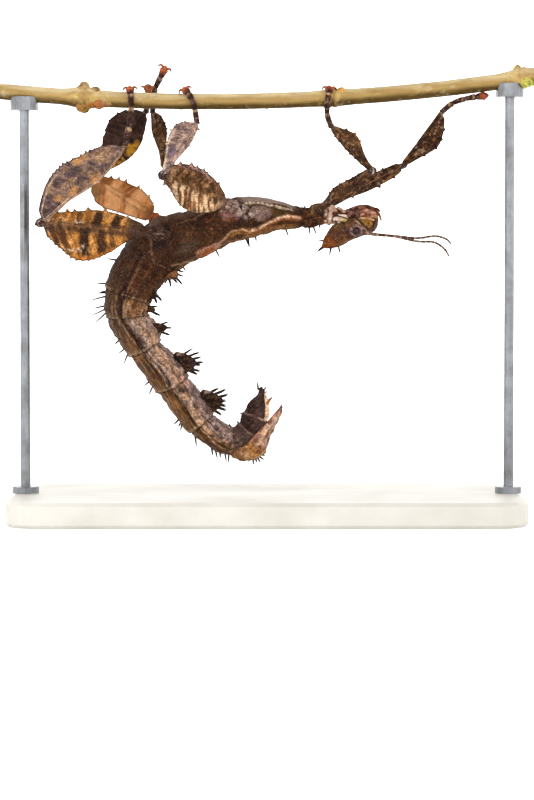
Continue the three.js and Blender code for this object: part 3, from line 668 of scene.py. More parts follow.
def trunk_paint(body):
    """Colour, flecks and gloss of the trunk."""
    p, tau, x = body.place, body.tau, body.points
    phase, number = segment_phase(body)
    soft, fine = cloud(x, 3.2, SEED + 50), cloud(x, 0.8, SEED + 51)
    streaks = cloud(sheet(body.s * 0.35, tau / 9), 1.0, SEED + 55)
    pw, tw = p + 0.08 * soft, tau + 6 * soft + 4 * fine
    colour = coats(shade(60, 41, 33),
        (0.6 * ease(soft, 0.0, 0.6), shade(82, 56, 38)),
        (0.6 * ease(fine, 0.0, 0.7), BLACKISH),
    )
    # thorax: golden brown back, purplish sides, pinkish grey leg bases, smooth grey belly
    thorax = ease(p, 7.3, 6.9) * ease(p, 2.0, 2.3)
    base = body.patch(4.75, 112, 2.4, 2.2, 13)
    belly = ease(tw, 130, 142) * ease(p, 2.2, 2.5) * ease(p, 4.5, 4.1)
    reddish = ease(cloud(x, 1.1, SEED + 56), 0.35, 0.6)
    colour = coats(colour,
        (thorax * ease(tw, 62, 48) * ease(p, 5.6, 4.8) * 0.9, shade(124, 86, 54)),
        (thorax * ease(tw, 40, 24) * ease(p, 4.8, 5.6) * 0.7, shade(112, 84, 58)),
        (0.8 * body.patch(3.55, 100, 2.8, 1.9, 6), shade(128, 104, 96)),
        (0.7 * body.patch(2.9, 106, 2.4, 1.4, 12), shade(78, 60, 34)),
        (0.85 * base, paint(shade(118, 84, 80), ease(streaks, 0.1, 0.6), CREAM)),
        (0.8 * body.patch(4.85, 92, 1.6, 0.9, 14), shade(104, 56, 42)),
        (0.9 * body.patch(4.75, 138, 3.2, 0.8, 15), BLACKISH * 0.5),
        (belly * 0.95, uneven(shade(138, 115, 107), 0.1 * fine)),
        (0.6 * ease(tw, 130, 145) * ease(p, 4.4, 5) * ease(p, 8, 7), shade(92, 74, 62)),
        # painted highlight: a pale patch where the bulge beside the middle coxa catches the light
        (0.7 * body.patch(4.15, 106, 2.5, 2.0, 20) * ease(fine, 0.5, -0.3), shade(168, 146, 138)),
        (0.75 * body.patch(4.75, 38, 3.4, 1.7, 7), shade(126, 84, 48)),
        (0.8 * body.patch(4.75, 40, 2.4, 0.9, 8), BLACKISH * 1.2),
        (0.8 * body.patch(5.95, 34, 3.3, 1.6, 9), shade(172, 126, 100)),
        (0.8 * body.patch(6.05, 32, 2.4, 1.0, 10), shade(140, 74, 40)),
        (0.4 * reddish * body.patch(5.6, 90, 4, 3, 11), shade(164, 84, 66)),
        (0.9 * ease(p, 2.3, 1.95), shade(58, 38, 29)),
        (0.6 * ease(p, 2.1, 1.7) * ease(fine, 0.1, 0.5), shade(120, 78, 46)),
        (0.8 * body.patch(7.15, 102, 2.6, 1.3, 18), shade(36, 27, 30)),
        (0.5 * body.patch(6.5, 66, 3.0, 1.8, 19), shade(84, 68, 58)),
    )
    # abdomen: back plates, from rusty brown to mauve with a tan stripe along the side
    back = ease(tw, 98, 90)
    rusty = back * ease(p, 7.4, 8.2) * ease(p, 9.3, 9.1)
    warm = back * (number == 9)
    grey = back * (number >= 10) * ease(p, 14.9, 14.5)
    stripe_at = np.interp(p, (10, 11, 12, 13, 14), (70, 50, 66, 84, 110))
    stripe_width = np.interp(p, (10, 11, 12, 13, 14), (14, 16, 15, 12, 20))
    band = hump(tw, stripe_at, stripe_width) * (number >= 10) * ease(p, 14.2, 13.6)
    crest_tint = ease(tw, 40, 15) * (number == 10) + ease(tw, 26, 8) * (number == 11)
    mottle = ease(cloud(x, 1.3, SEED + 52), 0.12, 0.45) * back * ease(p, 8.8, 9.3)
    pale_mottle = ease(cloud(x, 1.0, SEED + 57), 0.25, 0.55) * grey
    colour = coats(colour,
        (0.55 * rusty * ease(fine, -0.1, 0.5), shade(112, 68, 42)),
        (0.95 * warm, uneven(shade(120, 80, 52), 0.5 * fine)),
        (grey, uneven(shade(132, 108, 105), 0.45 * fine)),
        (0.9 * band * ease(fine, -0.6, 0.2), shade(190, 146, 108)),
        (0.7 * crest_tint * ease(fine, -0.5, 0.3), shade(178, 134, 84)),
        (0.85 * body.patch(12.1, 44, 1.6, 1.3, 16), PINK),
        (0.6 * mottle, shade(82, 60, 52)),
        (0.6 * pale_mottle, shade(206, 176, 158)),
    )
    # abdomen: belly plates, golden brown with dark wood-like grain
    plate = ease(tw, 100, 108) * ease(p, 14.6, 14.0)
    tone = paint(shade(74, 53, 39), ease(pw, 10.2, 11.2) * ease(soft, -0.7, 0.1), shade(122, 82, 50))
    colour = coats(colour,
        (plate * ease(pw, 8.4, 9.2) * 0.95, tone),
        (plate * ease(streaks, 0.05, 0.5) * ease(p, 8.2, 9) * 0.6, shade(62, 44, 32)),
        (plate * hump(phase, 0.95, 0.12) * ease(pw, 9.4, 9.8) * 0.5, OLIVE),
        (ease(tw, 128, 150) * ease(pw, 9.5, 10.5) * ease(p, 14.6, 14) * 0.45, shade(120, 92, 78)),
    )
    # the folds between back and belly plates, dark with pale lines beside them
    for path, width, amount, rims in SIDE_FOLDS:
        colour = paint(colour, amount * body.near(path, width), BLACKISH * 0.8)
        for away, strength in rims:
            line = body.near(moved(path, away), 0.22)
            colour = paint(colour, strength * line * ease(fine, -0.6, 0.2), shade(200, 160, 122))
    colour = paint(colour, 0.95 * body.patch(12.16, 70, 1.1, 0.6, 17), BLACKISH * 0.4)
    # the upturned tail, darker towards its tip
    tail = (number >= 14) * ease(tau, 150, 130) + ease(p, 14.1, 14.4) * ease(tau, 130, 150)
    colour = coats(colour,
        (0.95 * np.clip(tail, 0, 1), uneven(shade(88, 70, 64), 0.35 * fine)),
        (0.75 * (number >= 15), uneven(shade(58, 44, 42), 0.3 * fine)),
    )
    # seams between the plates: a thin dark slit and a pale lip in places
    lip = hump(phase, 0.965, 0.025)
    seam = hump(phase, 0.012, 0.02) + hump(phase, 0.998, 0.012)
    shown = ease(p, 7.9, 8.6)
    colour = coats(colour,
        (0.55 * lip * shown * ease(fine, -0.5, 0.3), shade(196, 158, 126)),
        (0.8 * seam * shown * ease(p, 14.3, 13.9), BLACKISH * 0.6),
        (0.85 * seam * (number >= 14) * ease(fine, -0.8, 0.0), shade(176, 138, 124)),
    )
    # fine streaks along the plates, with painted highlights on their raised tops and painted shade in the
    # clefts between them
    lines, abdomen = body.grain_lines(), ease(p, 7.2, 8.4) * ease(p, 14.6, 14.2)
    streak_crest_highlight = (0.2 + 0.25 * back) * ease(p, 8.6, 9.4)
    colour = coats(colour,
        (0.5 * abdomen * ease(lines, -0.15, -0.6), BLACKISH),
        (streak_crest_highlight * abdomen * ease(lines, 0.2, 0.7), shade(200, 160, 130)),
    )
    # painted light on the back plates' grains: darker between the grains, painted highlights on their tops
    grain_top_highlight = body.grains() * back * ease(p, 8.2, 9.2) * ease(p, 14.8, 14.2)
    colour = colour * (1 - 0.3 * back * ease(p, 8.2, 9.2) + 0.75 * grain_top_highlight)[..., None]
    wave, side = body.side_grooves()
    # painted shade in the fine grooves along the abdomen's sides
    colour = paint(colour, 0.7 * side * ease(wave, -0.2, -0.9), BLACKISH * 0.7)
    # the pale ridges and beads of the thorax, with an orange line under the notum's edge and a dark line of
    # painted shade under the beaded ridge
    gap = ease(fine, -0.6, 0.1)
    beads = body.beads()
    colour = coats(colour,
        (0.85 * body.near(moved(NOTUM_EDGE, -5), 0.5), shade(158, 92, 50)),
        (0.95 * body.near(NOTUM_EDGE, 0.3) * gap, shade(224, 186, 156)),
        (0.8 * body.near(WING_PAD_EDGE, 0.22), shade(196, 150, 110)),
        # painted shade under the beaded ridge
        (0.75 * body.near(moved(BEADED_RIDGE, -6), 0.4), BLACKISH * 0.7),
        (0.95 * body.near(BEADED_RIDGE, 0.26) * (0.35 + 0.65 * beads), CREAM),
    )
    for line, strength in ((METATHORAX_FOLD, 0.4), (METATHORAX_EDGE, 0.7), (FIRST_SUTURE, 0.3)):
        colour = paint(colour, strength * body.near(line, 0.18) * gap, shade(196, 150, 112))
    # neck: pale membrane, darkened in its creases as painted shade, with yellowish swellings
    folds = body.neck_folds()
    neck = ease(pw, 1.1, 0.94)
    membrane = coats(shade(196, 154, 132),
        (ease(soft, 0.0, 0.4), shade(196, 172, 100)),
        (ease(fine, 0.1, 0.6), shade(232, 214, 200)),
        (ease(folds, 0.25, -0.3), shade(74, 46, 38)),
    )
    colour = paint(colour, 0.97 * neck, membrane)
    fleck = 0.35 + 0.6 * back * ease(p, 8.8, 9.6) * ease(p, 15, 14) - 0.3 * neck - 0.3 * belly
    gloss = 0.3 + 0.15 * belly + 0.2 * fine
    return colour, fleck, gloss


def trunk_shell(body):
    """The neck, thorax and abdomen as one shell."""
    points, _ = body.surface(trunk_relief(body))
    # close both ends smoothly, and sink the neck's end into the head
    ends = round_ends(body.arc, body.arc[-1], np.array([0.8, 0.9]))[:, None, None]
    points = body.centres[:, None] + (points - body.centres[:, None]) * ends
    reach = ease(body.row_place, 0.5, 0)[:, None, None]
    points = points + reach * vec(1.3, 0, -0.6)
    return Shell(points, *trunk_paint(body))


# ---------------------------------------------------------------- leafy plates


# How far a tooth's foot reaches before and after its tip, as shares of half its foot.
TOOTH_FRONT = 1.4
TOOTH_BACK = 0.6


def notched(heights, teeth):
    """A function from the share along a plate to its height: eased between heights, with teeth on top.
    Each tooth is (share, height, half its foot as a share)."""

    def height(u):
        spots = np.linspace(0, 1, len(heights))
        reach = np.clip(np.minimum(u, 1 - u), 0, 0.07)
        weights = ((-1, 0.25), (0, 0.5), (1, 0.25))
        base = sum(weight * np.interp(u + k * reach, spots, heights) for k, weight in weights)
        for at, tall, foot in teeth:
            rise = np.clip((u - (at - TOOTH_FRONT * foot)) / (TOOTH_FRONT * foot), 0, 1) ** 1.5
            fall = np.clip(((at + TOOTH_BACK * foot) - u) / (TOOTH_BACK * foot), 0, 1) ** 1.2
            base = base + tall * np.where(u <= at, rise, fall)
        return base

    return height


def rows_for(count, teeth):
    """Shares along a plate: evenly spaced, with rows at each tooth's foot and tip."""
    steps = (-TOOTH_FRONT, -0.5, 0, TOOTH_BACK)
    marks = np.clip([at + step * foot for at, _, foot in teeth for step in steps], 0.02, 0.98)
    rows = np.unique(np.round(np.concatenate([np.linspace(0, 1, count), marks]), 4))
    keep = np.concatenate([[True], np.diff(rows) > 0.0025])
    keep[-1] = True
    return rows[keep]


def saw(start, stop, count, tall, foot, seed):
    """A row of small uneven teeth between two shares of a plate."""
    rng = np.random.default_rng(seed)
    spots = np.linspace(start, stop, count) + rng.uniform(-0.3, 0.3, count) * (stop - start) / count
    return [(u, tall * rng.uniform(0.5, 1.3), foot * rng.uniform(0.7, 1.2)) for u in spots]


class Plate:
    """A leafy plate along the line from a to b: a round rib with a thin lobe over and under it.

    over and under are (heights, teeth) for notched(). wave is how far the lobes bend to and fro, cup how
    far each leans out at its edge, and fan how much the plate widens upwards."""

    HALF = 39  # columns on each face
    RIM = 0.02  # half the thickness left at the edges

    def __init__(
        self, a, b, over, under, rib, up=None, wave=0.5, cup=(0.0, 0.0), fan=0.0, thick=0.2, seed=0
    ):
        self.along = unit(b - a)
        self.length = float(np.linalg.norm(b - a))
        self.up = unit(np.cross(Y_AXIS, self.along)) if up is None else unit(up)
        self.face = np.cross(self.along, self.up)
        u = rows_for(max(24, int(self.length / 0.26)), over[1] + under[1])
        w = np.linspace(-1, 1, self.HALF)
        w = np.sign(w) * np.abs(w) ** 0.9
        top, bottom = notched(*over)(u), notched(*under)(u)
        end = ease(u, 0, 0.07) * ease(u, 1, 0.93)
        radius = np.interp(u, np.linspace(0, 1, len(rib)), rib)
        radius = radius * np.sqrt(1 - np.abs(2 * u - 1) ** 24 + 1e-3)
        top = np.maximum(top * end, radius)
        bottom = np.maximum(bottom * end, radius)
        w = np.concatenate([w, w[::-1][1:-1]])
        self.w = np.broadcast_to(w, (len(u), len(w)))
        self.u = np.broadcast_to(u[:, None], self.w.shape)
        self.h = np.where(w > 0, w * top[:, None], w * bottom[:, None])
        self.reach = np.where(w > 0, top[:, None], bottom[:, None])
        front = np.concatenate([np.ones(self.HALF), -np.ones(self.HALF - 2)])
        self.front = np.broadcast_to(front, self.w.shape)
        edge = np.abs(self.w)
        lobe = thick * np.sqrt(np.clip(1 - edge**6, 0, 1)) * (1 - 0.45 * edge)
        bulge = np.sqrt(np.clip(radius[:, None] ** 2 - self.h**2, 0, None))
        half = np.maximum(lobe, bulge) + 0.3 * np.minimum(lobe, bulge)
        half = half * np.sqrt(np.clip(1 - np.abs(2 * self.u - 1) ** 40, 1e-3, 1))
        half[:, [0, self.HALF - 1]] = self.RIM
        spare = np.clip(self.reach - radius[:, None], 0, None) / 5
        s = self.u * self.length
        veins = np.sin((s + 0.55 * np.abs(self.h)) * TAU / 1.9 + 1.3 * np.sin(self.h * 0.9 + seed))
        bend = wave * np.sin(s * TAU / 8.5 + seed * 1.7 + 0.25 * self.h) * edge**1.6
        ruffle = 0.25 * np.sin(s * TAU / 3.1 + seed) * edge**4
        lean = np.where(w > 0, cup[0], cup[1])
        waves = bend + ruffle + 0.09 * veins * ease(edge, 0.1, 0.4)
        middle = waves * np.clip(spare, 0, 1) + lean * edge**1.7 * spare
        shift = s + fan * self.h * (self.u - 0.5)
        flat = a + self.along * shift[..., None] + self.up * self.h[..., None]
        lumps = 0.06 * cloud(flat, 1.1, SEED + seed) + 0.05 * granules(flat, 0.7, SEED + seed + 1)
        off = middle + self.front * (half + np.where(half > 0.05, lumps, 0))
        self.points = flat + self.face * off[..., None]
        self.s = s
        self.seed = seed
        self.veins = veins

    def band(self, at, slant, width, low=0.0, high=1.0):
        """A cross band from the share at on the rib, leaning by slant mm for each mm of height."""
        spot = at * self.length + slant * np.abs(self.h)
        wavy = 0.5 * cloud(self.points, 1.6, SEED + self.seed + 7)
        across = ease(np.abs(self.s - spot) + wavy, width, 0.45 * width)
        inner, outer = ease(self.edge, low - 0.08, low + 0.08), ease(self.edge, high + 0.1, high - 0.1)
        return across * inner * outer

    def spot(self, share, height, length, breadth):
        """A soft patch at a share along the rib and a height from it, with its half sizes in mm."""
        ds, dh = (self.s - share * self.length) / length, (self.h - height) / breadth
        return ease(np.hypot(ds, dh) + 0.4 * cloud(self.points, 1.5, SEED + self.seed + 9), 1.2, 0.6)

    @property
    def edge(self):
        """How far each point lies from the rib's middle line to the edge, 0 to 1."""
        return np.abs(self.h) / self.reach


# ---------------------------------------------------------------- the legs

# Joints and foot of each leg. Then, for femur and tibia, the lobe over the rib and the lobe under it:
# its heights at even steps, and its teeth as (share, height, half its foot).
LEGS = {
    "hind_left": dict(
        hip=vec(-22.6, -3.2, 67.2), hip_radius=2.6, trochanter=vec(-28.0, -6.4, 68.5),
        knee=vec(-53.1, -14, 70.7), ankle=vec(-33.8, -4.4, 88.9),
        foot=[(-32.8, -3.5, 93.5), (-32.3, -2.75, 98.4), (-32.5, -2.6, 101.3), (-32.6, -1.9, 102.5)],
        femur=(
            [1.4, 2.9, 4.0, 4.3, 3.5, 2.9, 2.2],
            [
                (0.21, 0.4, 0.02), (0.42, 0.9, 0.03), (0.58, 0.9, 0.03), (0.70, 0.7, 0.025),
                (0.77, 0.9, 0.03), (0.88, 0.8, 0.03),
            ],
            [0.8, 1.9, 5.4, 7.8, 8.3, 5.0, 1.8],
            [
                *saw(0.33, 0.60, 6, 0.35, 0.012, 5), (0.66, 0.6, 0.015), (0.71, 0.7, 0.015),
                *saw(0.75, 0.97, 7, 0.45, 0.012, 6),
            ],
        ),
        tibia=(
            [0.6, 0.5, 0.8, 1.8, 2.1, 1.6, 0.6], [(0.62, 0.5, 0.02)],
            [1.2, 4.6, 6.7, 6.8, 5.5, 4.2, 1.2],
            [*saw(0.38, 0.80, 11, 0.55, 0.015, 7), (0.86, 0.4, 0.012), (0.91, 0.3, 0.012)],
        ),
    ),
    "hind_right": dict(
        hip=vec(-22.6, 3.2, 67.4), hip_radius=2.6, trochanter=vec(-27.5, 6.4, 72.2),
        knee=vec(-43.1, 25, 82.2), ankle=vec(-29.2, 8, 97.9),
        foot=[(-28.6, 4.6, 99.9), (-28.4, 2.8, 100.8), (-28.4, 1.9, 102.3), (-28.4, -0.2, 103.0)],
        femur=(
            [1.8, 3.4, 4.4, 3.9, 3.4, 2.3, 1.0],
            [
                (0.12, 0.6, 0.02), (0.22, 0.8, 0.025), (0.35, 0.9, 0.025), (0.42, 0.9, 0.025),
                (0.60, 1.0, 0.03), (0.70, 1.1, 0.03), (0.81, 1.0, 0.03),
            ],
            [1.4, 2.2, 3.1, 3.9, 4.8, 4.6, 2.0],
            [(0.2, 0.4, 0.02), (0.45, 0.4, 0.02), (0.66, 0.3, 0.02)],
        ),
        tibia=(
            [0.6, 1.5, 3.3, 4.3, 4.1, 2.6, 0.8], [],
            [0.6, 1.6, 3.0, 5.1, 5.9, 4.4, 0.8], saw(0.3, 0.85, 6, 0.5, 0.02, 8),
        ),
    ),
    "middle_left": dict(
        hip=vec(-6.6, -2.8, 72.6), hip_radius=2.2, trochanter=vec(-9.7, -6.0, 75.3),
        knee=vec(-24.3, -15, 81.8), ankle=vec(-16.6, -6, 94.5),
        foot=[(-17.1, -3.9, 97.4), (-17.7, -2.75, 99.8), (-18.6, -2.4, 101.4), (-19.4, -1.6, 102.4)],
        femur=(
            [1.2, 3.0, 4.4, 5.1, 5.0, 4.4, 2.2],
            [
                (0.23, 0.8, 0.03), (0.45, 0.5, 0.025), (0.52, 0.7, 0.025), (0.63, 0.8, 0.03),
                (0.71, 1.0, 0.03), (0.86, 0.9, 0.03),
            ],
            [1.3, 3.6, 4.9, 5.3, 4.4, 2.2, 1.3],
            [*saw(0.42, 0.8, 8, 0.3, 0.015, 9), (0.94, 1.1, 0.025)],
        ),
        tibia=(
            [0.6, 0.45, 0.8, 1.3, 1.5, 1.3, 0.8], [(0.62, 0.4, 0.02), (0.74, 0.3, 0.02), (0.93, 0.7, 0.03)],
            [0.6, 1.4, 2.6, 3.6, 4.2, 3.9, 1.2],
            [(0.46, 0.5, 0.02), (0.68, 0.5, 0.025), *saw(0.76, 0.94, 4, 0.5, 0.02, 10)],
        ),
    ),
    "middle_right": dict(
        hip=vec(-6.6, 2.8, 72.6), hip_radius=2.2, trochanter=vec(-9.7, 6.0, 75.3),
        knee=vec(-24.9, 14, 85.4), ankle=vec(-27.5, 4.9, 97.6),
        foot=[(-27.3, 3.1, 100.2), (-26.8, 2.9, 103.0), (-25.6, 2.9, 105.6), (-24.6, 2.9, 107.6)],
        femur=(
            [1.2, 1.8, 2.3, 2.3, 2.0, 1.3, 1.0], [(0.3, 0.6, 0.03), (0.5, 0.7, 0.03), (0.72, 0.6, 0.03)],
            [1.2, 2.6, 3.4, 3.8, 3.6, 2.8, 1.2], saw(0.25, 0.85, 7, 0.4, 0.02, 11),
        ),
        tibia=(
            [0.6, 0.9, 1.3, 2.1, 2.5, 2.1, 1.0], saw(0.4, 0.9, 5, 0.45, 0.025, 12),
            [0.5, 0.6, 0.9, 1.2, 1.4, 0.9, 0.6], [(0.55, 0.3, 0.02)],
        ),
    ),
    "fore_left": dict(
        hip=vec(10.6, -0.9, 73.0), hip_radius=1.6, trochanter=vec(12.6, -3.4, 74.2),
        knee=vec(24.5, -18.8, 82.7), ankle=vec(15.1, -8.6, 93.6),
        foot=[(14.3, -5.0, 96.4), (14.4, -2.9, 99.6), (14.7, -2.8, 101.5), (14.8, -2.0, 102.6)],
        femur=(
            [0.8, 0.7, 1.1, 1.5, 1.8, 1.7, 1.0], saw(0.2, 0.85, 5, 0.35, 0.02, 13),
            [0.8, 1.0, 2.2, 2.0, 1.5, 1.3, 1.0], saw(0.25, 0.8, 6, 0.4, 0.02, 14),
        ),
        tibia=(
            [0.6, 0.8, 1.5, 2.7, 3.1, 1.6, 0.5], [(0.5, 0.4, 0.03), (0.66, 0.5, 0.03), (0.8, 0.6, 0.03)],
            [0.6, 0.9, 1.1, 1.3, 1.2, 1.1, 0.6], saw(0.2, 0.85, 6, 0.3, 0.02, 15),
        ),
    ),
    "fore_right": dict(
        hip=vec(10.6, 0.9, 73.0), hip_radius=1.6, trochanter=vec(13.4, 3.4, 74.4),
        knee=vec(33.1, 10, 85.0), ankle=vec(42.0, 2.8, 97.5),
        foot=[(44.4, 1.2, 99.4), (47.2, 0.6, 100.4), (49.8, 0.2, 100.85), (52.0, 0, 101.15)],
        femur=(
            [0.8, 0.8, 0.9, 1.6, 1.7, 1.7, 1.0], [(0.35, 0.5, 0.02), (0.66, 0.8, 0.03), (0.85, 0.5, 0.02)],
            [0.8, 1.2, 1.4, 1.6, 1.7, 1.4, 1.0], [(0.3, 0.4, 0.02), (0.55, 0.5, 0.03), (0.78, 0.4, 0.02)],
        ),
        tibia=(
            [0.7, 1.7, 3.1, 4.3, 3.9, 2.6, 0.8],
            [(0.3, 0.5, 0.03), (0.5, 0.5, 0.03), (0.66, 0.5, 0.03), (0.8, 0.5, 0.03)],
            [0.5, 0.55, 0.6, 0.6, 0.6, 0.5, 0.5], [],
        ),
    ),
}


def leaf_base(plate, ground, dark, warm, rays=0.7):
    """Mottled ground colour of a leafy plate, with streaks that run out from its rib."""
    x, seed = plate.points, SEED + plate.seed
    soft, fine = cloud(x, 2.6, seed + 20), cloud(x, 0.75, seed + 21)
    streaks = cloud(sheet((plate.s + 0.5 * np.abs(plate.h)) * 1.5, plate.h * 0.3), 1.0, seed + 22, 2)
    colour = coats(ground,
        (0.7 * ease(soft, 0.0, 0.5), dark),
        (0.7 * ease(soft, 0.0, -0.5), warm),
        (rays * ease(streaks, 0.05, 0.55), dark),
        (rays * ease(streaks, -0.15, -0.6), warm),
        (0.3 * ease(plate.veins, 0.3, 1.0) * ease(plate.edge, 0.12, 0.35), warm * 1.15),
    )
    return uneven(colour, 0.34 * fine), streaks, fine


def margin(plate, colour, amount=0.85, width=0.5):
    """A dark rim along the toothed edges."""
    left = plate.reach - np.abs(plate.h)
    spare = ease(plate.reach, 1.2, 2.0)
    return paint(colour, amount * spare * ease(left, width, 0.1), BLACKISH)


def banded_femur(plate):
    """The near hind femur: orange with dark cross bands, a dark rib and a dark reddish knee end."""
    dark = shade(58, 41, 33)
    colour, streaks, fine = leaf_base(plate, shade(172, 114, 56), shade(112, 70, 38), shade(206, 146, 84))
    over, under = plate.h > 0, plate.h < 0
    for side, at, slant, width, amount in (
        (over, 0.67, -0.2, 0.9, 0.7), (over, 0.50, -0.25, 1.5, 1.0), (over, 0.32, -0.25, 1.5, 1.0),
        (under, 0.60, -0.12, 1.7, 1.0), (under, 0.45, -0.12, 1.5, 0.95), (under, 0.35, -0.1, 0.8, 0.6),
    ):
        colour = paint(colour, amount * side * plate.band(at, slant, width, 0.0, 0.9), dark)
    rib = ease(plate.h, -1.9, -1.0) * ease(plate.h, 1.2, 0.4)
    bright = ease(cloud(plate.points, 0.6, SEED + 77), 0.4, 0.6)
    rib_highlight_dashes = ease(np.abs(plate.h - 0.8), 1.1, 0.4) * ease(plate.u, 0.45, 0.6)
    # pale specks on the under lobe, and pale painted highlight dashes along the rib
    specks = bright * (plate.spot(0.66, -5.4, 3.0, 1.6) + rib_highlight_dashes)
    colour = coats(colour,
        (0.85 * under * ease(plate.u, 0.68, 0.76) * ease(streaks, -0.5, -0.1), shade(66, 42, 34)),
        (0.7 * under * ease(plate.edge, 0.8, 0.95) * ease(plate.u, 0.8, 0.6), shade(176, 104, 48)),
        (0.95 * ease(plate.u, 0.26, 0.16), shade(62, 46, 40)),
        (0.8 * rib * ease(fine, -0.9, 0.0), shade(74, 56, 48)),
        (0.6 * ease(plate.u, 0.84, 0.96), shade(104, 76, 66)),
        (0.7 * specks, shade(226, 196, 170)),
    )
    return margin(plate, colour), 0.4, 0.45 + 0.2 * fine


def mottled_tibia(plate):
    """The near hind tibia: purplish grey with tan mottling and darker and orange patches, and a pale painted
    highlight just inside the under lobe's edge near the knee.
    """
    colour, _, fine = leaf_base(plate, shade(120, 96, 86), shade(80, 66, 68), shade(168, 130, 98), 0.4)
    for spot in ((0.52, -3.6, 2.6, 1.5), (0.35, -4, 1.8, 1.4), (0.2, -3, 1.8, 1.4), (0.5, -1.3, 1.6, 0.9)):
        colour = paint(colour, 0.85 * plate.spot(*spot), shade(70, 58, 64))
    for spot in ((0.39, -0.3, 1.6, 1.2), (0.26, -1.6, 1.2, 0.9), (0.6, 1, 1.6, 0.9), (0.62, -5, 2, 1.2)):
        colour = paint(colour, 0.75 * plate.spot(*spot), shade(178, 126, 80))
    # painted highlight: a pale line just inside the under lobe's toothed edge, near the knee
    inside = hump(plate.reach + plate.h, 0.9, 0.18) * ease(plate.u, 0.5, 0.3)
    colour = coats(colour,
        (0.8 * ease(plate.u, 0.24, 0.04), shade(74, 58, 60)),
        (0.5 * ease(plate.u, 0.8, 0.95), shade(110, 90, 92)),
        (0.8 * inside, shade(206, 176, 156)),
        (0.5 * hump(plate.reach - plate.h, 0.3, 0.22) * (plate.h > 0), TAN),
    )
    return margin(plate, colour, 0.9 * (plate.h < 0), 0.6), 0.35, 0.4 + 0.2 * fine


def radiating_femur(plate):
    """The near middle femur: pale streaks that fan out below a dark middle, a pink flange above."""
    colour, streaks, fine = leaf_base(plate, shade(132, 90, 62), shade(84, 56, 40), shade(188, 146, 108), 0.5)
    low = ease(plate.h, 0.6, -1.0)
    olive = ease(plate.h, -0.9, 0.5) * ease(plate.h, 4.2, 3.4) * ease(plate.u, 0.95, 0.8)
    flange = ease(plate.h, 3.3, 4.0) * ease(plate.u, 0.3, 0.45)
    colour = coats(colour,
        (0.9 * low * ease(streaks, 0.0, -0.45), shade(228, 190, 148)),
        (0.8 * low * ease(streaks, 0.1, 0.45), shade(88, 58, 40)),
        (0.9 * olive * ease(fine + 0.9 * streaks, 0.6, -0.4), shade(60, 42, 28)),
        (0.4 * olive * ease(fine, 0.3, 0.6), shade(150, 118, 78)),
        (0.85 * flange, uneven(shade(134, 98, 86), 0.5 * fine)),
        (0.7 * flange * hump(plate.reach - plate.h, 0.9, 0.3), shade(196, 154, 140)),
        (0.85 * plate.spot(0.62, 4.0, 3.4, 0.4), BLACKISH),
        (0.7 * ease(plate.u, 0.62, 0.8) * ease(plate.h, -0.8, -2.2), shade(108, 78, 68)),
        (0.85 * plate.spot(0.98, 0, 1.8, 2.2), shade(72, 54, 44)),
        (0.8 * ease(plate.u, 0.16, 0.05), shade(96, 72, 64)),
    )
    return margin(plate, colour, 0.9 * (plate.h > 0) + 0.35, 0.45), 0.3, 0.45 + 0.25 * fine


def grey_tibia(plate):
    """The near middle tibia: purplish grey with pale streaks, bluer below, and a pale front edge."""
    colour, _, fine = leaf_base(plate, shade(136, 110, 102), shade(88, 72, 74), shade(184, 152, 132), 0.35)
    lines = noise(sheet(plate.s * 0.35, plate.h * 1.2), 0.6, SEED + 85)
    pale_edge = hump(plate.reach + plate.h, 0.3, 0.25) * ease(plate.u, 0.75, 0.5) * (plate.h < 0)
    colour = coats(colour,
        (0.6 * ease(lines, 0.1, 0.6), shade(196, 164, 148)),
        (0.7 * plate.spot(0.36, -1.6, 2.4, 1.4), shade(82, 72, 92)),
        (0.8 * ease(plate.u, 0.3, 0.1), shade(86, 72, 80)),
        (0.8 * pale_edge, CREAM),
    )
    return margin(plate, colour, 0.7, 0.35), 0.35, 0.45 + 0.2 * fine


def soft_orange_femur(plate):
    """The far hind femur: smooth warm orange-brown with broad soft painted shading, a pale painted sheen
    beside its rib and a dark line on its rib.
    """
    colour, _, fine = leaf_base(plate, shade(156, 96, 52), shade(108, 66, 38), shade(196, 136, 88), 0.25)
    broad = cloud(sheet(plate.s, plate.h * 0.6), 4.5, SEED + 88, 2)
    rib = hump(plate.h - 0.25 * broad, -0.2, 0.22) * ease(plate.u, 0.06, 0.2)
    colour = coats(colour,
        (0.8 * ease(broad, 0.0, 0.5), shade(122, 78, 46)),
        (0.8 * ease(broad, -0.1, -0.6), shade(202, 146, 98)),
        (0.75 * rib * ease(fine, -0.5, 0.1), shade(84, 58, 44)),
        # painted sheen: a pale band just above the rib
        (0.5 * hump(plate.h, 0.5, 0.5) * ease(broad, 0.3, -0.3), shade(206, 156, 108)),
        (0.6 * plate.spot(0.86, -2.6, 2.5, 2.0), shade(110, 84, 50)),
        (0.8 * ease(plate.u, 0.1, 0.0), shade(128, 78, 52)),
    )
    return margin(plate, colour, 0.8, 0.4), 0.0, 0.4 + 0.1 * fine


def dark_tibia(plate):
    """The far hind tibia: smooth near-black brown, partly its own colour and partly painted shade of its
    backlit side, with a golden patch along its far lobe.
    """
    # the near-black ground is partly painted shade of the side turned away from the light
    colour, _, fine = leaf_base(plate, shade(58, 42, 38), shade(44, 32, 30), shade(76, 56, 48), 0.3)
    gold = plate.spot(0.30, 3.2, 3.4, 1.6) + plate.spot(0.55, 3.4, 3.4, 1.5)
    colour = paint(colour, 0.9 * gold * ease(fine, -0.8, 0.1), shade(184, 130, 44))
    return margin(plate, colour, 0.8, 0.5), 0.05, 0.35 + 0.1 * fine


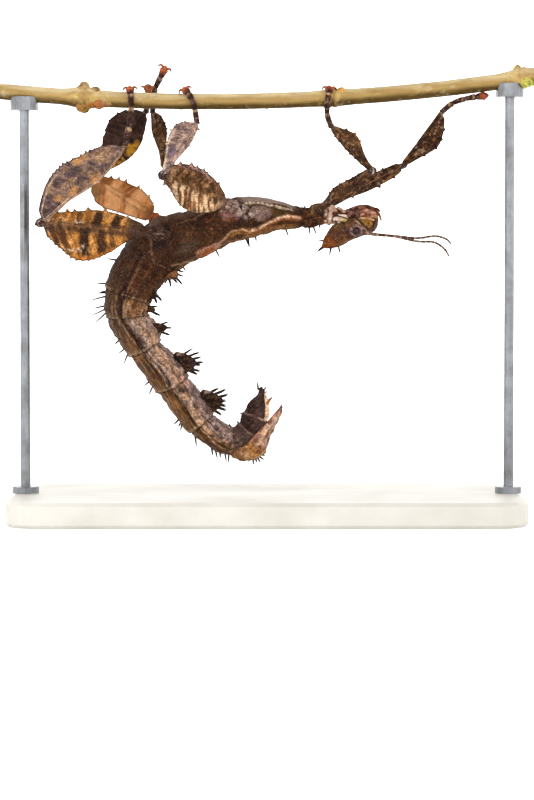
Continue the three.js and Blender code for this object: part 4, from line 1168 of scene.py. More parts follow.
def dark_leaf(plate):
    """The fore legs and the far middle leg: near black with fine pale specks and orange streaks."""
    colour, _, fine = leaf_base(plate, shade(66, 47, 37), shade(44, 31, 27), shade(90, 63, 44), 0.4)
    lines = noise(sheet(plate.s * 0.3, plate.h * 1.1), 0.6, SEED + 87 + plate.seed)
    colour = coats(colour,
        (0.5 * ease(lines, 0.3, 0.75), shade(146, 98, 60)),
        (0.5 * ease(fine, 0.4, 0.65), shade(170, 142, 118)),
    )
    return margin(plate, colour, 0.7, 0.3), 0.3, 0.4 + 0.15 * fine


# How each plate is painted, how far it waves and how far its two lobes lean. Others get dark_leaf.
LOOKS = {
    "femur_hind_left": (banded_femur, 0.35, (0.5, -0.4)),
    "tibia_hind_left": (mottled_tibia, 0.35, (0.0, 0.5)),
    "femur_middle_left": (radiating_femur, 0.3, (-0.7, 0.4)),
    "tibia_middle_left": (grey_tibia, 0.3, (0.2, 0.3)),
    "femur_hind_right": (soft_orange_femur, 0.45, (0.5, 0.3)),
    "tibia_hind_right": (dark_tibia, 0.35, (0.3, 0.3)),
}


FORE_LEG_SIZE = 0.8  # how stout the fore legs are, beside the others


def leg_shells(name, leg, index):
    """The coxa, femur, knee, tibia and foot of one leg as overlapping shells."""
    size = FORE_LEG_SIZE if name.startswith("fore") else 1.0
    shells = [coxa_shell(name, leg, size, index)]
    for part, a, b, rib in (
        ("femur", leg["trochanter"], leg["knee"], (1.2, 1.1, 0.95, 1.0)),
        ("tibia", leg["knee"], leg["ankle"], (1.0, 0.75, 0.65, 0.72)),
    ):
        over, under = leg[part][:2], leg[part][2:]
        look, wave, cup = LOOKS.get(f"{part}_{name}", (dark_leaf, 0.3, (0.3, -0.3)))
        seed = index * 2 + (part == "tibia")
        plate = Plate(a, b, over, under, [size * radius for radius in rib], wave=wave, cup=cup, seed=seed)
        shells.append(Shell(plate.points, *look(plate)))
    shells.append(knee_shell(leg, size, index))
    shells += foot_shells(leg, index)
    return shells


def coxa_shell(name, leg, size, index):
    """The leg's base, from inside the thorax to just past the trochanter."""
    hip, hook = leg["hip"], leg["trochanter"]
    middle = (hip + hook) / 2 + vec(0, 0, 0.3)
    points, place, turn, out = tube(
        [hip, middle, hook, hook + unit(hook - middle) * 0.9],
        [leg["hip_radius"], leg["hip_radius"] * 0.86, 1.45 * size, 1.0 * size], sides=40, spacing=0.25)
    folds = 0.14 * np.sin(place * 11 + 1.5 * noise(points, 2, SEED + index))
    folds = folds + 0.16 * granules(points, 0.8, SEED + index)
    ring = -0.25 * hump(place, 1.72, 0.10)
    points = points + out * (folds + ring)[..., None]
    fine = cloud(points, 0.9, SEED + 60 + index)
    streaks = noise(sheet(place * 0.9, turn * 2.2), 0.5, SEED + 61 + index)
    colour = coats(shade(112, 84, 78),
        (ease(fine, -0.1, 0.5), BLACKISH * 1.5),
        (0.5 * ease(streaks, 0.1, 0.6), shade(196, 164, 150)),
    )
    if name.startswith("fore"):
        colour = paint(shade(66, 50, 42), ease(fine, 0.1, 0.5), shade(120, 84, 56))
    if name.startswith("hind"):
        colour = coats(shade(62, 46, 40),
            (ease(fine, 0, 0.5), BLACKISH),
            (0.5 * ease(streaks, 0.25, 0.6), shade(136, 110, 98)),
            (0.8 * ease(points[..., 2], 66.9, 65.2) * ease(place, 1.3, 0.8), RUST),
        )
    above = ease(points[..., 2] - hip[2], leg["hip_radius"] * 0.45, leg["hip_radius"] * 0.8)
    colour = coats(colour,
        (0.6 * ease(points[..., 2], hip[2], hip[2] - 1.8) * ease(place, 1.4, 0.9), shade(94, 60, 48)),
        (0.7 * hump(place, 1.7, 0.07), BLACKISH * 0.7),
        (0.9 * above * ease(place, 1.2, 0.8), BLACKISH * 0.5),
    )
    if name == "hind_right":
        colour = paint(colour, 0.85 * ease(place, 1.2, 1.6), shade(150, 84, 52))
    return Shell(points, colour, 0.4, 0.5 + 0.3 * fine)


def knee_shell(leg, size, index):
    """The smooth rounded joint between femur and tibia, with pinkish streaks along it whose palest parts are
    painted highlights.
    """
    knee = leg["knee"]
    inner, outer = unit(leg["trochanter"] - knee), unit(leg["ankle"] - knee)
    points, place, turn, out = tube(
        [
            knee + inner * 2.8, knee + inner * 1.0, knee - (inner + outer) * 0.35, knee + outer * 1.0,
            knee + outer * 2.6,
        ],
        [0.7 * size, 0.95 * size, 0.95 * size, 0.9 * size, 0.5 * size], sides=32, spacing=0.2)
    groove = hump(place, 2.9, 0.16)
    lumps = 0.08 * cloud(points, 0.9, SEED + 90 + index) - 0.22 * groove
    points = points + out * lumps[..., None]
    fine = cloud(points, 0.6, SEED + 91 + index)
    streaks = noise(sheet(place * 1.2, turn * 2.0), 0.55, SEED + 92 + index)
    colour = coats(shade(62, 48, 46),
        (ease(streaks, 0.15, 0.6), shade(132, 108, 104)),
        # painted highlight: the palest streaks along the knee
        (0.6 * ease(streaks, 0.45, 0.8), shade(226, 204, 194)),
        (0.6 * ease(fine, 0.0, -0.5), BLACKISH),
        (0.8 * groove, BLACKISH * 0.7),
    )
    return Shell(points, colour, 0.3, 0.75)


def foot_path(leg):
    """The spots along the foot from the ankle on, and the direction at its end."""
    spots = [leg["ankle"], *(vec(*p) for p in leg["foot"])]
    way = unit(spots[-1] - spots[-2])
    return spots, way


FOOT_JOINTS = 6  # the tarsus's five joints and the one that carries the claws


def foot_shells(leg, index):
    """The tarsus as five short joints, each widening towards its end, then the pad."""
    spots, way = foot_path(leg)
    points, place, _, out = tube(
        [spots[0] - unit(spots[1] - spots[0]) * 0.6, *spots, spots[-1] + way * 0.55],
        [0.62, 0.66, 0.58, 0.58, 0.68, 0.95, 0.5], sides=20, spacing=0.16)
    along = place / place.max()
    steps = along * FOOT_JOINTS % 1.0
    swell = 0.16 * steps**2 - 0.16 * hump(steps, 0.0, 0.08) - 0.12 * hump(steps, 1.0, 0.05)
    points = points + out * (swell + 0.05 * granules(points, 0.4, SEED + 95 + index))[..., None]
    fine = cloud(points, 0.6, SEED + 96 + index)
    colour = coats(shade(62, 42, 37),
        (ease(fine, 0.0, 0.5), BLACKISH * 0.8),
        (0.5 * ease(fine, -0.3, -0.7), shade(158, 128, 118)),
        (0.7 * hump(steps, 0.86, 0.10) * ease(fine, -0.4, 0.2), TAN),
        (0.9 * ease(along, 0.70, 0.80), uneven(shade(168, 84, 52), 0.3 * fine)),
    )
    pad_middle = spots[-1] + way * 0.1
    pad, _, _, _ = tube(
        [pad_middle - way * 1.0, pad_middle, pad_middle + way * 0.9], [0.6, 1.0, 0.6],
        sides=20, spacing=0.16, flatten=0.8)
    pad_fine = cloud(pad, 0.5, SEED + 97 + index)
    pad_colour = paint(shade(164, 92, 62), ease(pad_fine, 0.1, 0.5), shade(108, 60, 44))
    return [Shell(points, colour, 0.3, 0.5), Shell(pad, pad_colour, 0.2, 0.6)]


def claw_shells():
    """Two hooked claws on each foot."""
    shells = []
    for leg in LEGS.values():
        spots, way = foot_path(leg)
        end = spots[-1]
        across = vec(0, 1, 0) if abs(way[0]) > 0.9 else unit(vec(1, 0, 0) - way * way[0])
        droop = np.cross(way, across)
        droop = droop if droop[1] >= 0 else -droop
        for side in (-1, 1):
            hook = [
                end + across * side * 0.25,
                end + across * side * 1.05 + way * 0.65,
                end + across * side * 1.55 + way * 0.4 + droop * 0.15,
                end + across * side * 1.75 - way * 0.2 + droop * 0.4,
            ]
            points, place, _, _ = tube(hook, [0.36, 0.30, 0.2, 0.05], sides=12, spacing=0.1)
            colour = paint(shade(142, 82, 58), ease(place, 1.4, 2.4), BLACKISH)
            shells.append(Shell(points, colour, 0.1, 0.9))
    return shells


# ---------------------------------------------------------------- the head

CROWN = vec(13.9, 0, 65.5)
JAW_END = vec(25.0, 0, 72.6)
HEAD_ALONG = unit(JAW_END - CROWN)
HEAD_BROW = unit(np.cross(Y_AXIS, HEAD_ALONG))
HEAD_LENGTH = float(np.linalg.norm(JAW_END - CROWN))
EYES = {side: vec(21.3, sign * 2.55, 68.9) for side, sign in (("left", -1), ("right", 1))}
EYE_RADIUS = 0.98
EYE_STRETCH = 1.06  # along the head
# Share of the way from crown to jaws, reach towards the brow, reach towards the neck, half width.
HEAD = [
    (-0.07, 0.1, -0.1, 0.1),
    (-0.04, 0.45, -0.5, 0.5),
    (0.02, 1.0, -1.2, 0.9),
    (0.10, 1.5, -1.9, 1.3),
    (0.20, 1.9, -2.6, 1.8),
    (0.30, 2.15, -3.1, 2.2),
    (0.47, 2.4, -3.1, 2.75),
    (0.58, 2.7, -2.6, 3.0),
    (0.70, 3.1, -2.0, 2.85),
    (0.82, 3.35, -1.1, 2.4),
    (0.92, 2.9, -0.2, 1.8),
    (0.98, 1.9, 0.3, 0.9),
]


def head_shell():
    """The head, with raised rings round the eyes and a pale ridge along the face's front edge."""
    rows, sides = 88, 72
    table = np.array(HEAD)
    share = np.linspace(table[0, 0], table[-1, 0], rows)
    weights = ((-0.02, 0.3), (0, 0.4), (0.02, 0.3))
    brow, neck, wide = (
        sum(weight * np.interp(share + shift, table[:, 0], table[:, c]) for shift, weight in weights)
        for c in (1, 2, 3)
    )
    centre = CROWN + HEAD_ALONG * (share * HEAD_LENGTH)[:, None] + HEAD_BROW * ((brow + neck) / 2)[:, None]
    deep = (brow - neck) / 2
    turn = np.linspace(0, TAU, sides, endpoint=False)
    c, s = np.cos(turn)[None, :, None], np.sin(turn)[None, :, None]
    offset = HEAD_BROW * deep[:, None, None] * c + Y_AXIS * wide[:, None, None] * s
    points = centre[:, None] + offset
    out = unit(offset)
    tau = np.degrees(np.minimum(turn, TAU - turn))[None, :] + 0 * share[:, None]
    at = share[:, None] + 0 * tau
    to_eye = np.minimum(*(np.linalg.norm(points - e, axis=-1) for e in EYES.values()))
    lift = 0.10 * cloud(points, 1.4, SEED + 110)
    lift += 0.09 * granules(points, 0.75, SEED + 111) * ease(at, 0.75, 0.5)
    lift += 0.38 * hump(to_eye, 1.12, 0.2) - 0.25 * ease(to_eye, 0.9, 0.6)
    lift += 0.22 * hump(tau, 38, 7) * ease(at, 0.05, 0.2) * ease(at, 0.85, 0.6)
    lift += 0.30 * hump(tau, 118, 9) * ease(at, 0.3, 0.5) + 0.18 * hump(tau, 0, 9) * ease(at, 0.6, 0.2)
    # the face's front edge: a pale ridge beside a dark groove, from jaw hinge to brow
    hinge, brow_end = vec(21.2, 0, 71.4), vec(23.8, 0, 69.0)
    way = unit(brow_end - hinge)
    across = (points - hinge) @ np.cross(way, Y_AXIS)
    along_edge = (points - hinge) @ way
    edge = ease(along_edge, -0.6, 0.1) * ease(along_edge, 3.9, 3.2) * ease(tau, 30, 45)
    ridges = edge * hump(across, 0.0, 0.17)
    groove = edge * hump(across, 0.31, 0.14)
    lift += 0.2 * ridges - 0.3 * groove
    points = points + out * lift[..., None]
    fine, soft = cloud(points, 0.6, SEED + 112), cloud(points, 2.0, SEED + 113)
    rim = hump(to_eye, 1.3, 0.26) * ease(granules(points, 0.5, SEED + 114), 0.05, 0.45)
    colour = coats(shade(78, 50, 38),
        (0.9 * ease(tau + 14 * soft, 96, 128) * ease(at, 0.2, 0.4), shade(108, 80, 52)),
        (0.9 * ease(at + 0.07 * soft, 0.28, 0.02), shade(134, 70, 34)),
        (0.6 * ease(tau + 10 * soft, 60, 30) * ease(at, 0.15, 0.35), shade(124, 88, 56)),
        (0.6 * ease(soft, 0.1, 0.5) * ease(at, 0.15, 0.4), shade(70, 50, 46)),
        (0.7 * ease(to_eye, 2.0, 1.3), shade(66, 48, 46)),
        (0.85 * rim, shade(196, 158, 148)),
        (0.75 * ease(tau, 150, 165) * ease(at, 0.3, 0.45), TAN),
        (0.3 * ease(fine, 0.1, 0.6), BLACKISH),
        (0.2 * ease(fine, -0.2, -0.7), shade(168, 124, 88)),
        (0.9 * ease(across, 0.6, 0.9) * edge, shade(150, 106, 56)),
        (0.9 * groove, BLACKISH * 0.8),
        (0.75 * ridges * ease(fine, -0.6, 0.1), shade(196, 158, 138)),
    )
    return Shell(points, colour, 0.4, 0.45 + 0.2 * fine)


# Mouthparts: path, radii, the two mixed colours, flatness, sides, ridge height. A path that lies to
# one side (the second number of its first point is not 0) is made once for each side.
RED_PLATE, DARK_PLATE, FLESH = shade(134, 86, 66), shade(62, 42, 36), shade(210, 160, 138)
MOUTHPARTS = [
    ([(17.4, 0, 72.3), (19.4, 0, 72.9), (21.6, 0, 73.0), (23.6, 0, 72.8), (25.4, 0, 72.2)],
     [1.4, 2.0, 2.0, 1.9, 1.2], shade(122, 88, 78), shade(56, 38, 34), 0.62, 36, 0.16),
    ([(18.4, 0, 73.4), (20.3, 0, 74.0), (22.2, 0, 74.5), (24.2, 0, 74.5), (26.0, 0, 73.8), (26.9, 0, 72.9)],
     [1.0, 1.7, 1.9, 1.8, 1.5, 0.7], RED_PLATE, DARK_PLATE, 0.34, 40, 0.12),
    ([(21.6, 0, 73.3), (23.2, 0, 73.8), (25.0, 0, 73.5), (26.7, 0, 72.4)], [1.4, 2.2, 2.0, 1.0],
     FLESH, shade(146, 92, 74), 0.36, 40, 0.2),
    ([(21.0, 0, 72.4), (22.8, 0, 72.8), (24.8, 0, 72.6), (26.3, 0, 71.9)], [1.5, 2.25, 2.05, 1.1],
     shade(192, 136, 112), shade(100, 60, 46), 0.36, 40, 0.18),
    ([(21.2, 0, 71.7), (22.8, 0, 72.1), (24.7, 0, 71.9), (26.2, 0, 71.2)], [1.5, 2.35, 2.15, 1.2],
     shade(226, 194, 150), shade(176, 130, 84), 0.17, 40, 0.05),
    ([(21.8, 0, 70.6), (23.3, 0, 70.8), (24.5, 0, 70.6), (25.4, 0, 70.3)], [1.6, 2.3, 2.15, 1.4],
     shade(156, 110, 52), shade(100, 64, 34), 0.68, 40, 0.06),
    ([(26.0, 0, 72.0), (25.9, 0, 70.6), (25.3, 0, 69.3), (24.4, 0, 68.7)], [1.4, 1.8, 1.5, 0.8],
     BLACKISH, shade(96, 66, 46), 0.3, 32, 0.04),
    ([(26.0, 1.0, 73.6), (26.8, 1.3, 73.0), (27.1, 1.4, 72.1), (27.4, 1.4, 71.3)],
     [0.26, 0.24, 0.21, 0.12], shade(168, 98, 76), shade(108, 58, 44), 1, 12, 0.05),
    ([(25.5, 1.7, 72.9), (26.2, 2.0, 72.1), (26.4, 2.0, 71.2), (26.3, 1.9, 70.5)],
     [0.3, 0.28, 0.24, 0.12], shade(180, 132, 84), shade(104, 62, 44), 1, 12, 0.05),
    ([(24.9, 1.2, 74.3), (26.4, 1.5, 74.1), (27.1, 1.6, 73.5)],
     [0.3, 0.28, 0.16], shade(110, 62, 48), DARK_PLATE, 1, 12, 0.05),
]


def mouth_shells():
    """Jaws, layer on layer: red outer plate, pink lobes, cream rim, golden upper lip, palps."""
    shells = []
    for number, (path, radii, colour, other, flatness, sides, ridge) in enumerate(MOUTHPARTS):
        for sign in (-1, 1) if path[0][1] else (1,):
            line = [(x, y * sign, z) for x, y, z in path]
            points, place, turn, out = tube(line, radii, sides=sides, spacing=0.17, flatten=flatness)
            ripple = ridge * cloud(sheet(place * 2.2, turn * 1.1), 1.0, SEED + 118 + number, 2)
            points = points + out * ripple[..., None]
            fine = cloud(points, 0.6, SEED + 120 + number)
            mixed = paint(colour, ease(fine + 4 * ripple, 0.3, -0.3), other)
            shells.append(Shell(points, mixed, 0.15, 0.65))
    return shells


FEELER_JOINTS = 21


def feeler_shells():
    """Each feeler has a thick first joint, then many short ones, every third of them paler."""
    shells = []
    for sign in (-1, 1):
        drop = [0, 0.1, 0.8, 1.6, 2.5, 3.0] if sign < 0 else [0] * 6
        path = [(24.2, 68.3), (30.5, 67.7), (36.2, 67.2), (40.6, 67.7), (43.2, 66.9), (44.3, 65.8)]
        spots = [(x - 0.3 * d, sign * (1 + 0.45 * i), z - d) for i, ((x, z), d) in enumerate(zip(path, drop))]
        start = (vec(*spots[0]) - vec(1.0, 0, -0.3)).tolist()
        radii = [0.42, 0.40, 0.31, 0.27, 0.25, 0.25, 0.18]
        points, place, _, out = tube([start, *spots], radii, sides=14, spacing=0.12)
        joint, steps = np.divmod(place / place.max() * FEELER_JOINTS, 1.0)
        swell = 0.05 * steps - 0.06 * hump(steps, 0, 0.1) - 0.05 * hump(steps, 1, 0.06)
        points = points + out * swell[..., None]
        fine = cloud(points, 0.7, SEED + 130)
        colour = coats(shade(84, 62, 56),
            (0.5 * ((joint % 3) == 1), shade(150, 118, 100)),
            (0.6 * hump(steps, 0.95, 0.08), TAN),
            (0.7 * ease(place, 1.2, 0.7), shade(170, 120, 96)),
        )
        shells.append(Shell(points, uneven(colour, 0.2 * fine), 0.3, 0.5))
    return shells


def socket_shells():
    """The collar that each feeler stands in."""
    shells = []
    for sign in (-1, 1):
        base = vec(23.6, sign * 1.15, 68.6)
        path = [base - vec(0.9, 0, -0.6), base, base + vec(0.9, 0, -0.1)]
        points, _, _, _ = tube(path, [0.75, 0.85, 0.45], sides=18, spacing=0.15)
        fine = cloud(points, 0.6, SEED + 134)
        colour = paint(shade(110, 80, 70), ease(fine, 0, 0.4), shade(196, 156, 140))
        shells.append(Shell(points, colour, 0.3, 0.6))
    return shells


# ---------------------------------------------------------------- combs, tail and thorns

SPIKE_RADIUS = 0.26
THORN_RADIUS = 0.24
TOOTH_RADIUS = 0.22
SMALL_THORN_RADIUS = 0.14
THORN_STRETCH = 1.08  # how much longer than listed the thorns on the trunk are made

# Place, reach, breadth, number of spikes, spike length, lean towards the tail.
COMBS = [
    (7.5, 2.2, 3.2, 5, 2.4, -0.1),
    (8.6, 1.9, 1.9, 3, 1.8, 0.7),
    (9.62, 2.2, 1.6, 2, 2.0, 0.3),
    (10.68, 2.9, 2.4, 3, 2.3, 0.55),
    (11.7, 4.3, 5.0, 7, 2.0, 0.68),
    (12.62, 4.4, 5.0, 7, 2.0, 0.75),
]
COMB_TURN = 24  # degrees from the middle of the back to the foot of each comb
COMB_SPLAY = 0.32  # how far the combs of a pair lean apart
COMB_FAN = 0.34
COMB_FOOT = 0.56  # half a comb's foot, as a share of its breadth
FIRST_DARK_COMB = 8  # combs before this place are paler


def comb_shells(body):
    """Leafy combs in pairs along the back, each a fan with stout spikes round its rim."""
    shells = []
    for number, (place, reach, breadth, spikes, spike, lean) in enumerate(COMBS):
        for sign in (-1, 1):
            root, _ = body.spot(place, sign * COMB_TURN, -0.6)
            along = body.direction(place)
            back = unit(np.cross(along, Y_AXIS))
            up = unit(back + along * lean + Y_AXIS * sign * COMB_SPLAY)
            over = unit(along - up * along.dot(up))
            half = over * breadth * COMB_FOOT
            rim = [0.2, reach * 0.5, reach * 0.9, reach * 1.12, reach * 1.0, reach * 0.7, 0.3]
            plate = Plate(
                root - half, root + half, (rim, []), ([0.6] * 7, []), (0.35, 0.5, 0.35),
                up=up, wave=0.1, cup=(0.4 * sign, 0), fan=COMB_FAN, thick=0.3, seed=200 + number * 2,
            )
            leaf, tip = shade(48, 34, 25), BLACKISH * 0.55
            if place < FIRST_DARK_COMB:
                leaf, tip = shade(122, 82, 54), shade(66, 46, 36)
            fine = cloud(plate.points, 0.8, SEED + 140 + number)
            streak = ease(np.sin((plate.u - 0.5) * 9 * TAU / 2 + 2 * fine), 0.3, 0.9)
            colour = coats(leaf,
                (ease(fine, 0.0, 0.5), tip),
                (0.4 * streak * (plate.h > 0.8), shade(92, 74, 54)),
            )
            if number > 3:
                lip = hump(plate.u, 0.1, 0.05) * (plate.h > 0.4)
                colour = paint(colour, 0.7 * lip, shade(164, 134, 122))
            shells.append(Shell(plate.points, colour, 0.45, 0.5))
            rng = np.random.default_rng(SEED + number)
            for k in range(spikes):
                share = (k + 0.5 + rng.uniform(-0.3, 0.3)) / spikes - 0.5
                height = reach * (1.03 - 1.9 * share**2)
                foot = root + over * share * (breadth * 0.85 + COMB_FAN * height) + up * (height - 0.5)
                foot = foot + plate.face * 0.4 * sign * (height / 5)
                way = up + over * share * 1.15 + Y_AXIS * sign * rng.uniform(-0.1, 0.15)
                length = spike * rng.uniform(0.5, 1.2) + 0.5
                shells.append(thorn_shell(foot, way, length, SPIKE_RADIUS, rng.uniform(-0.3, 0.3), k))
    return shells


# The scoop's stations: x, z, reach to its keel, reach to the rims of its walls, half width.
SCOOP = [
    (-9.6, 16.6, 0.7, 0.6, 2.0), (-8.2, 15.8, 0.8, 1.7, 3.0), (-5.2, 15.3, 1.2, 2.2, 3.7),
    (-2.5, 16.9, 2.0, 2.6, 3.5), (-0.6, 19.8, 1.0, 2.0, 2.9), (1.2, 22.8, 0.8, 1.1, 1.9),
    (3.0, 26.0, 0.45, 0.45, 0.8), (3.5, 27.3, 0.12, 0.12, 0.15),
]


def scoop_shell():
    """The keeled scoop under the tail, open upwards, that guides the eggs."""
    line, place = spline([(x, 0, z) for x, z, _, _, _ in SCOOP], 400)
    line, place, t = even(line, place, 0.22)
    keel, wall, wide = (np.interp(place, np.arange(len(SCOOP)), [s[k] for s in SCOOP]) for k in (2, 3, 4))
    along = unit(np.gradient(line, axis=0))
    back = unit(np.cross(along, Y_AXIS))
    turn = np.linspace(0, TAU, 72, endpoint=False)
    c, s = np.cos(turn)[None, :], np.sin(turn)[None, :]
    ends = np.sqrt(np.clip(1 - np.abs(2 * t / t[-1] - 1) ** 10, 1e-3, 1))[:, None]
    tau = np.degrees(np.minimum(turn, TAU - turn))[None, :] + 0 * t[:, None]
    grid = place[:, None] + 0 * tau
    spread_out = np.sign(s) * np.abs(s) ** 0.8
    height = keel[:, None] * np.clip(c, -1, 0) + wall[:, None] * np.abs(s) ** 5 + 0.2 * np.clip(c, 0, 1)
    blade = 0.35 * np.clip(-c, 0, 1) ** 10 * ease(t, 0, 3)[:, None]
    saw_edge = 0.5 * blade * np.clip(np.sin(t * TAU / 1.6), 0, 1)[:, None] * ease(grid, 4.6, 3.8)
    points = line[:, None] + back[:, None] * ((height - blade - saw_edge) * ends)[..., None]
    points = points + Y_AXIS * (wide[:, None] * spread_out * ends)[..., None]
    fine, soft = cloud(points, 0.8, SEED + 150), cloud(points, 2.2, SEED + 151)
    streaks = cloud(sheet(grid * 1.6, tau / 14), 0.8, SEED + 152)
    ripples = 0.10 * fine + 0.10 * np.sin(grid * 9 + tau * 0.06)
    points = points + unit(back[:, None] * c[..., None] + Y_AXIS * s[..., None]) * ripples[..., None]
    colour = coats(shade(172, 132, 118),
        (0.85 * ease(soft + fine, 0.0, 0.7), shade(226, 192, 170)),
        (0.8 * ease(tau + 6 * soft, 112, 96) * ease(grid, 2.2, 3.4), shade(160, 84, 72)),
        (0.9 * ease(grid + 0.4 * soft, 3.5, 2.6), shade(172, 120, 62)),
        (0.7 * hump(grid, 2.9, 0.4) * ease(tau, 110, 150), shade(206, 138, 66)),
        (0.7 * ease(streaks, -0.2, -0.55), shade(212, 172, 132)),
        (0.75 * ease(streaks, 0.1, 0.45), shade(96, 62, 42)),
        (0.7 * ease(grid + 0.4 * soft, 2.3, 1.3), shade(116, 80, 52)),
        (0.8 * ease(grid + 0.2 * soft, 5.4, 6.2), shade(84, 56, 50)),
        (0.6 * ease(tau, 160, 172) * ease(grid, 4.5, 3.5), UMBER),
        (0.55 * ease(fine, 0.15, 0.5), shade(104, 66, 54)),
    )
    return Shell(points, colour, 0.6, 0.45)


# The flaps' middle lines (for the right side; the left side mirrors them), radii and colours.
FLAPS = [
    ([(-0.9, 1.0, 22.8), (-0.1, 1.4, 24.6), (0.0, 1.4, 26.6), (-0.3, 1.1, 29.0), (-0.5, 0.8, 30.6)],
     [0.7, 0.95, 0.75, 0.55, 0.12], shade(230, 196, 162), shade(176, 100, 62)),
    ([(-0.4, 1.3, 26.8), (0.3, 1.6, 28.0), (1.3, 1.5, 29.1)],
     [0.5, 0.62, 0.15], shade(170, 96, 48), UMBER),
]


def flap_shells():
    """The small pointed flaps between the last segment and the scoop."""
    shells = []
    for path, radii, tone, other in FLAPS:
        for sign in (-1, 1):
            line = [(x, y * sign, z) for x, y, z in path]
            points, place, _, out = tube(line, radii, sides=24, spacing=0.2, flatten=0.6)
            fine = cloud(points, 0.8, SEED + 155)
            points = points + out * (0.1 * fine)[..., None]
            colour = coats(tone,
                (ease(fine, 0, 0.5), other),
                (0.6 * ease(place, place.max() - 0.5, place.max() - 0.1), UMBER),
            )
            shells.append(Shell(points, colour, 0.4, 0.5))
    return shells


# Thorns on the trunk: place, turn in degrees, length, lean towards the tail.
THORNS = [
    (1.75, 12, 2.0, 0.0), (1.58, -10, 2.1, -0.2), (1.3, 24, 0.9, 0.1), (1.85, 200, 0.8, 0.1),
    (2.55, 8, 1.8, -0.5), (4.3, 10, 1.9, 0.1), (4.4, -12, 2.1, -0.2), (3.95, -8, 1.1, -0.1),
    (5.75, 8, 1.9, 0.0), (6.85, 14, 1.3, 0.0),
    (8.34, 188, 2.0, 0.45), (8.88, 172, 2.9, 0.4), (9.08, 186, 1.1, 0.3),
    (9.12, 178, 1.8, 0.3), (9.24, 187, 3.2, 0.4), (9.52, 173, 2.8, 0.2), (9.62, 186, 3.2, 0.45),
    (9.74, 178, 3.3, 0.8), (10.47, 176, 1.2, 0.2), (10.71, 186, 1.6, 0.1), (10.86, 174, 2.8, 0.7),
    (11.63, 186, 1.4, 0.0), (11.76, 174, 2.3, 0.5), (12.63, 187, 1.5, 0.2), (12.7, 180, 1.0, 0.4),
    (12.73, 173, 1.6, 0.8), (13.1, 186, 2.1, 1.0), (13.57, 188, 1.5, 0.75), (13.66, 174, 1.9, 0.85),
    (13.77, 186, 1.2, 0.5), (13.88, 176, 1.7, 0.3), (13.95, 186, 2.0, 0.05), (14.3, 0, 0.8, 0.0),
    (14.96, 0, 0.5, 0.2), (15.85, 0, 0.8, 0.0), (15.85, 180, 0.9, 0.2), (16.93, 10, 1.5, 2.6),
    (16.9, 150, 1.2, 2.2), (16.8, 185, 0.9, 1.2), (16.6, 178, 0.8, 0.8), (16.25, 182, 0.8, 0.9),
]
# The scoop's dark teeth: x, z, length, and the angle they point at, in degrees up from +X.
SCOOP_TEETH = [
    (-5.4, 14.3, 0.7, -100), (-4.4, 14.0, 0.5, -90), (-3.3, 13.7, 0.9, -85), (-2.6, 13.9, 0.6, -70),
    (-2.0, 14.1, 0.9, -60), (-1.4, 14.5, 0.9, -35), (-1.2, 15.2, 0.8, -15), (-1.0, 16.0, 0.8, 0),
    (-0.8, 17.2, 0.5, 0),
]
# Foot, direction, length and radius of the thorns round the crown.
HEAD_THORNS = [
    ((14.0, 0, 65.5), (-0.8, 0, -0.6), 2.7, 0.45),
    ((14.1, 0.6, 66.6), (-1, 0.1, 0), 2.1, 0.26),
    ((15.3, -0.5, 65.0), (-0.2, -0.15, -1), 2.3, 0.26),
    ((17.1, 0.5, 65.4), (0.2, 0.15, -1), 2.2, 0.26),
    ((15.4, 0.9, 65.1), (-0.1, 0.5, -1), 0.9, 0.22),
    ((14.3, -0.8, 66.9), (-1, -0.4, 0.1), 0.8, 0.22),
]


def thorn_shell(foot, way, length, radius, curl, seed):
    """A stout straight thorn that keeps most of its width until its last third."""
    way = unit(vec(*way))
    across = unit(np.cross(way, vec(0.3, 0.9, 0.2)))
    foot = vec(*foot)
    shoulder = foot + way * length * 0.6 + across * curl * 0.3
    tip = foot + way * length + across * curl
    path = [foot - way * 0.5, foot, shoulder, tip]
    points, place, _, _ = tube(path, [radius * 1.35, radius, radius * 0.72, 0.05], sides=10, spacing=0.16)
    fine = cloud(points, 0.5, SEED + seed)
    dark = paint(shade(66, 53, 48), ease(place, 1.0, 1.8), shade(40, 32, 30))
    return Shell(points, uneven(dark, 0.25 * fine), 0.2, 0.5)


def small_thorns(body):
    """Scattered short thorns: along the ridges of the thorax and the edges of the abdomen's plates."""
    rng = np.random.default_rng(SEED)
    # first and last place, degrees from the back's middle, scatter of these, count, length
    rows = [
        (1.15, 1.95, 70, 22, 12, 0.5), (1.1, 1.95, 150, 20, 8, 0.45), (2.3, 4.0, 128, 3, 16, 0.4),
        (2.2, 4.0, 66, 10, 12, 0.35), (4.4, 6.9, 30, 12, 10, 0.4), (4.6, 6.9, 120, 8, 10, 0.35),
        (8.2, 13.8, 70, 14, 22, 0.35), (8.2, 13.8, 150, 12, 20, 0.4), (14.2, 16.6, 40, 20, 10, 0.4),
        (14.2, 16.6, 130, 16, 8, 0.4),
    ]
    shells = []
    for start, stop, middle, scatter, count, length in rows:
        for k in range(count):
            place = rng.uniform(start, stop)
            turn = (middle + rng.uniform(-scatter, scatter)) * (1 if k % 2 else -1)
            spot, out = body.spot(place, turn)
            way = out + body.direction(place) * rng.uniform(0.1, 0.6)
            tall = length * rng.uniform(0.7, 1.3)
            shells.append(thorn_shell(spot, way, tall, SMALL_THORN_RADIUS, 0.0, k))
    return shells


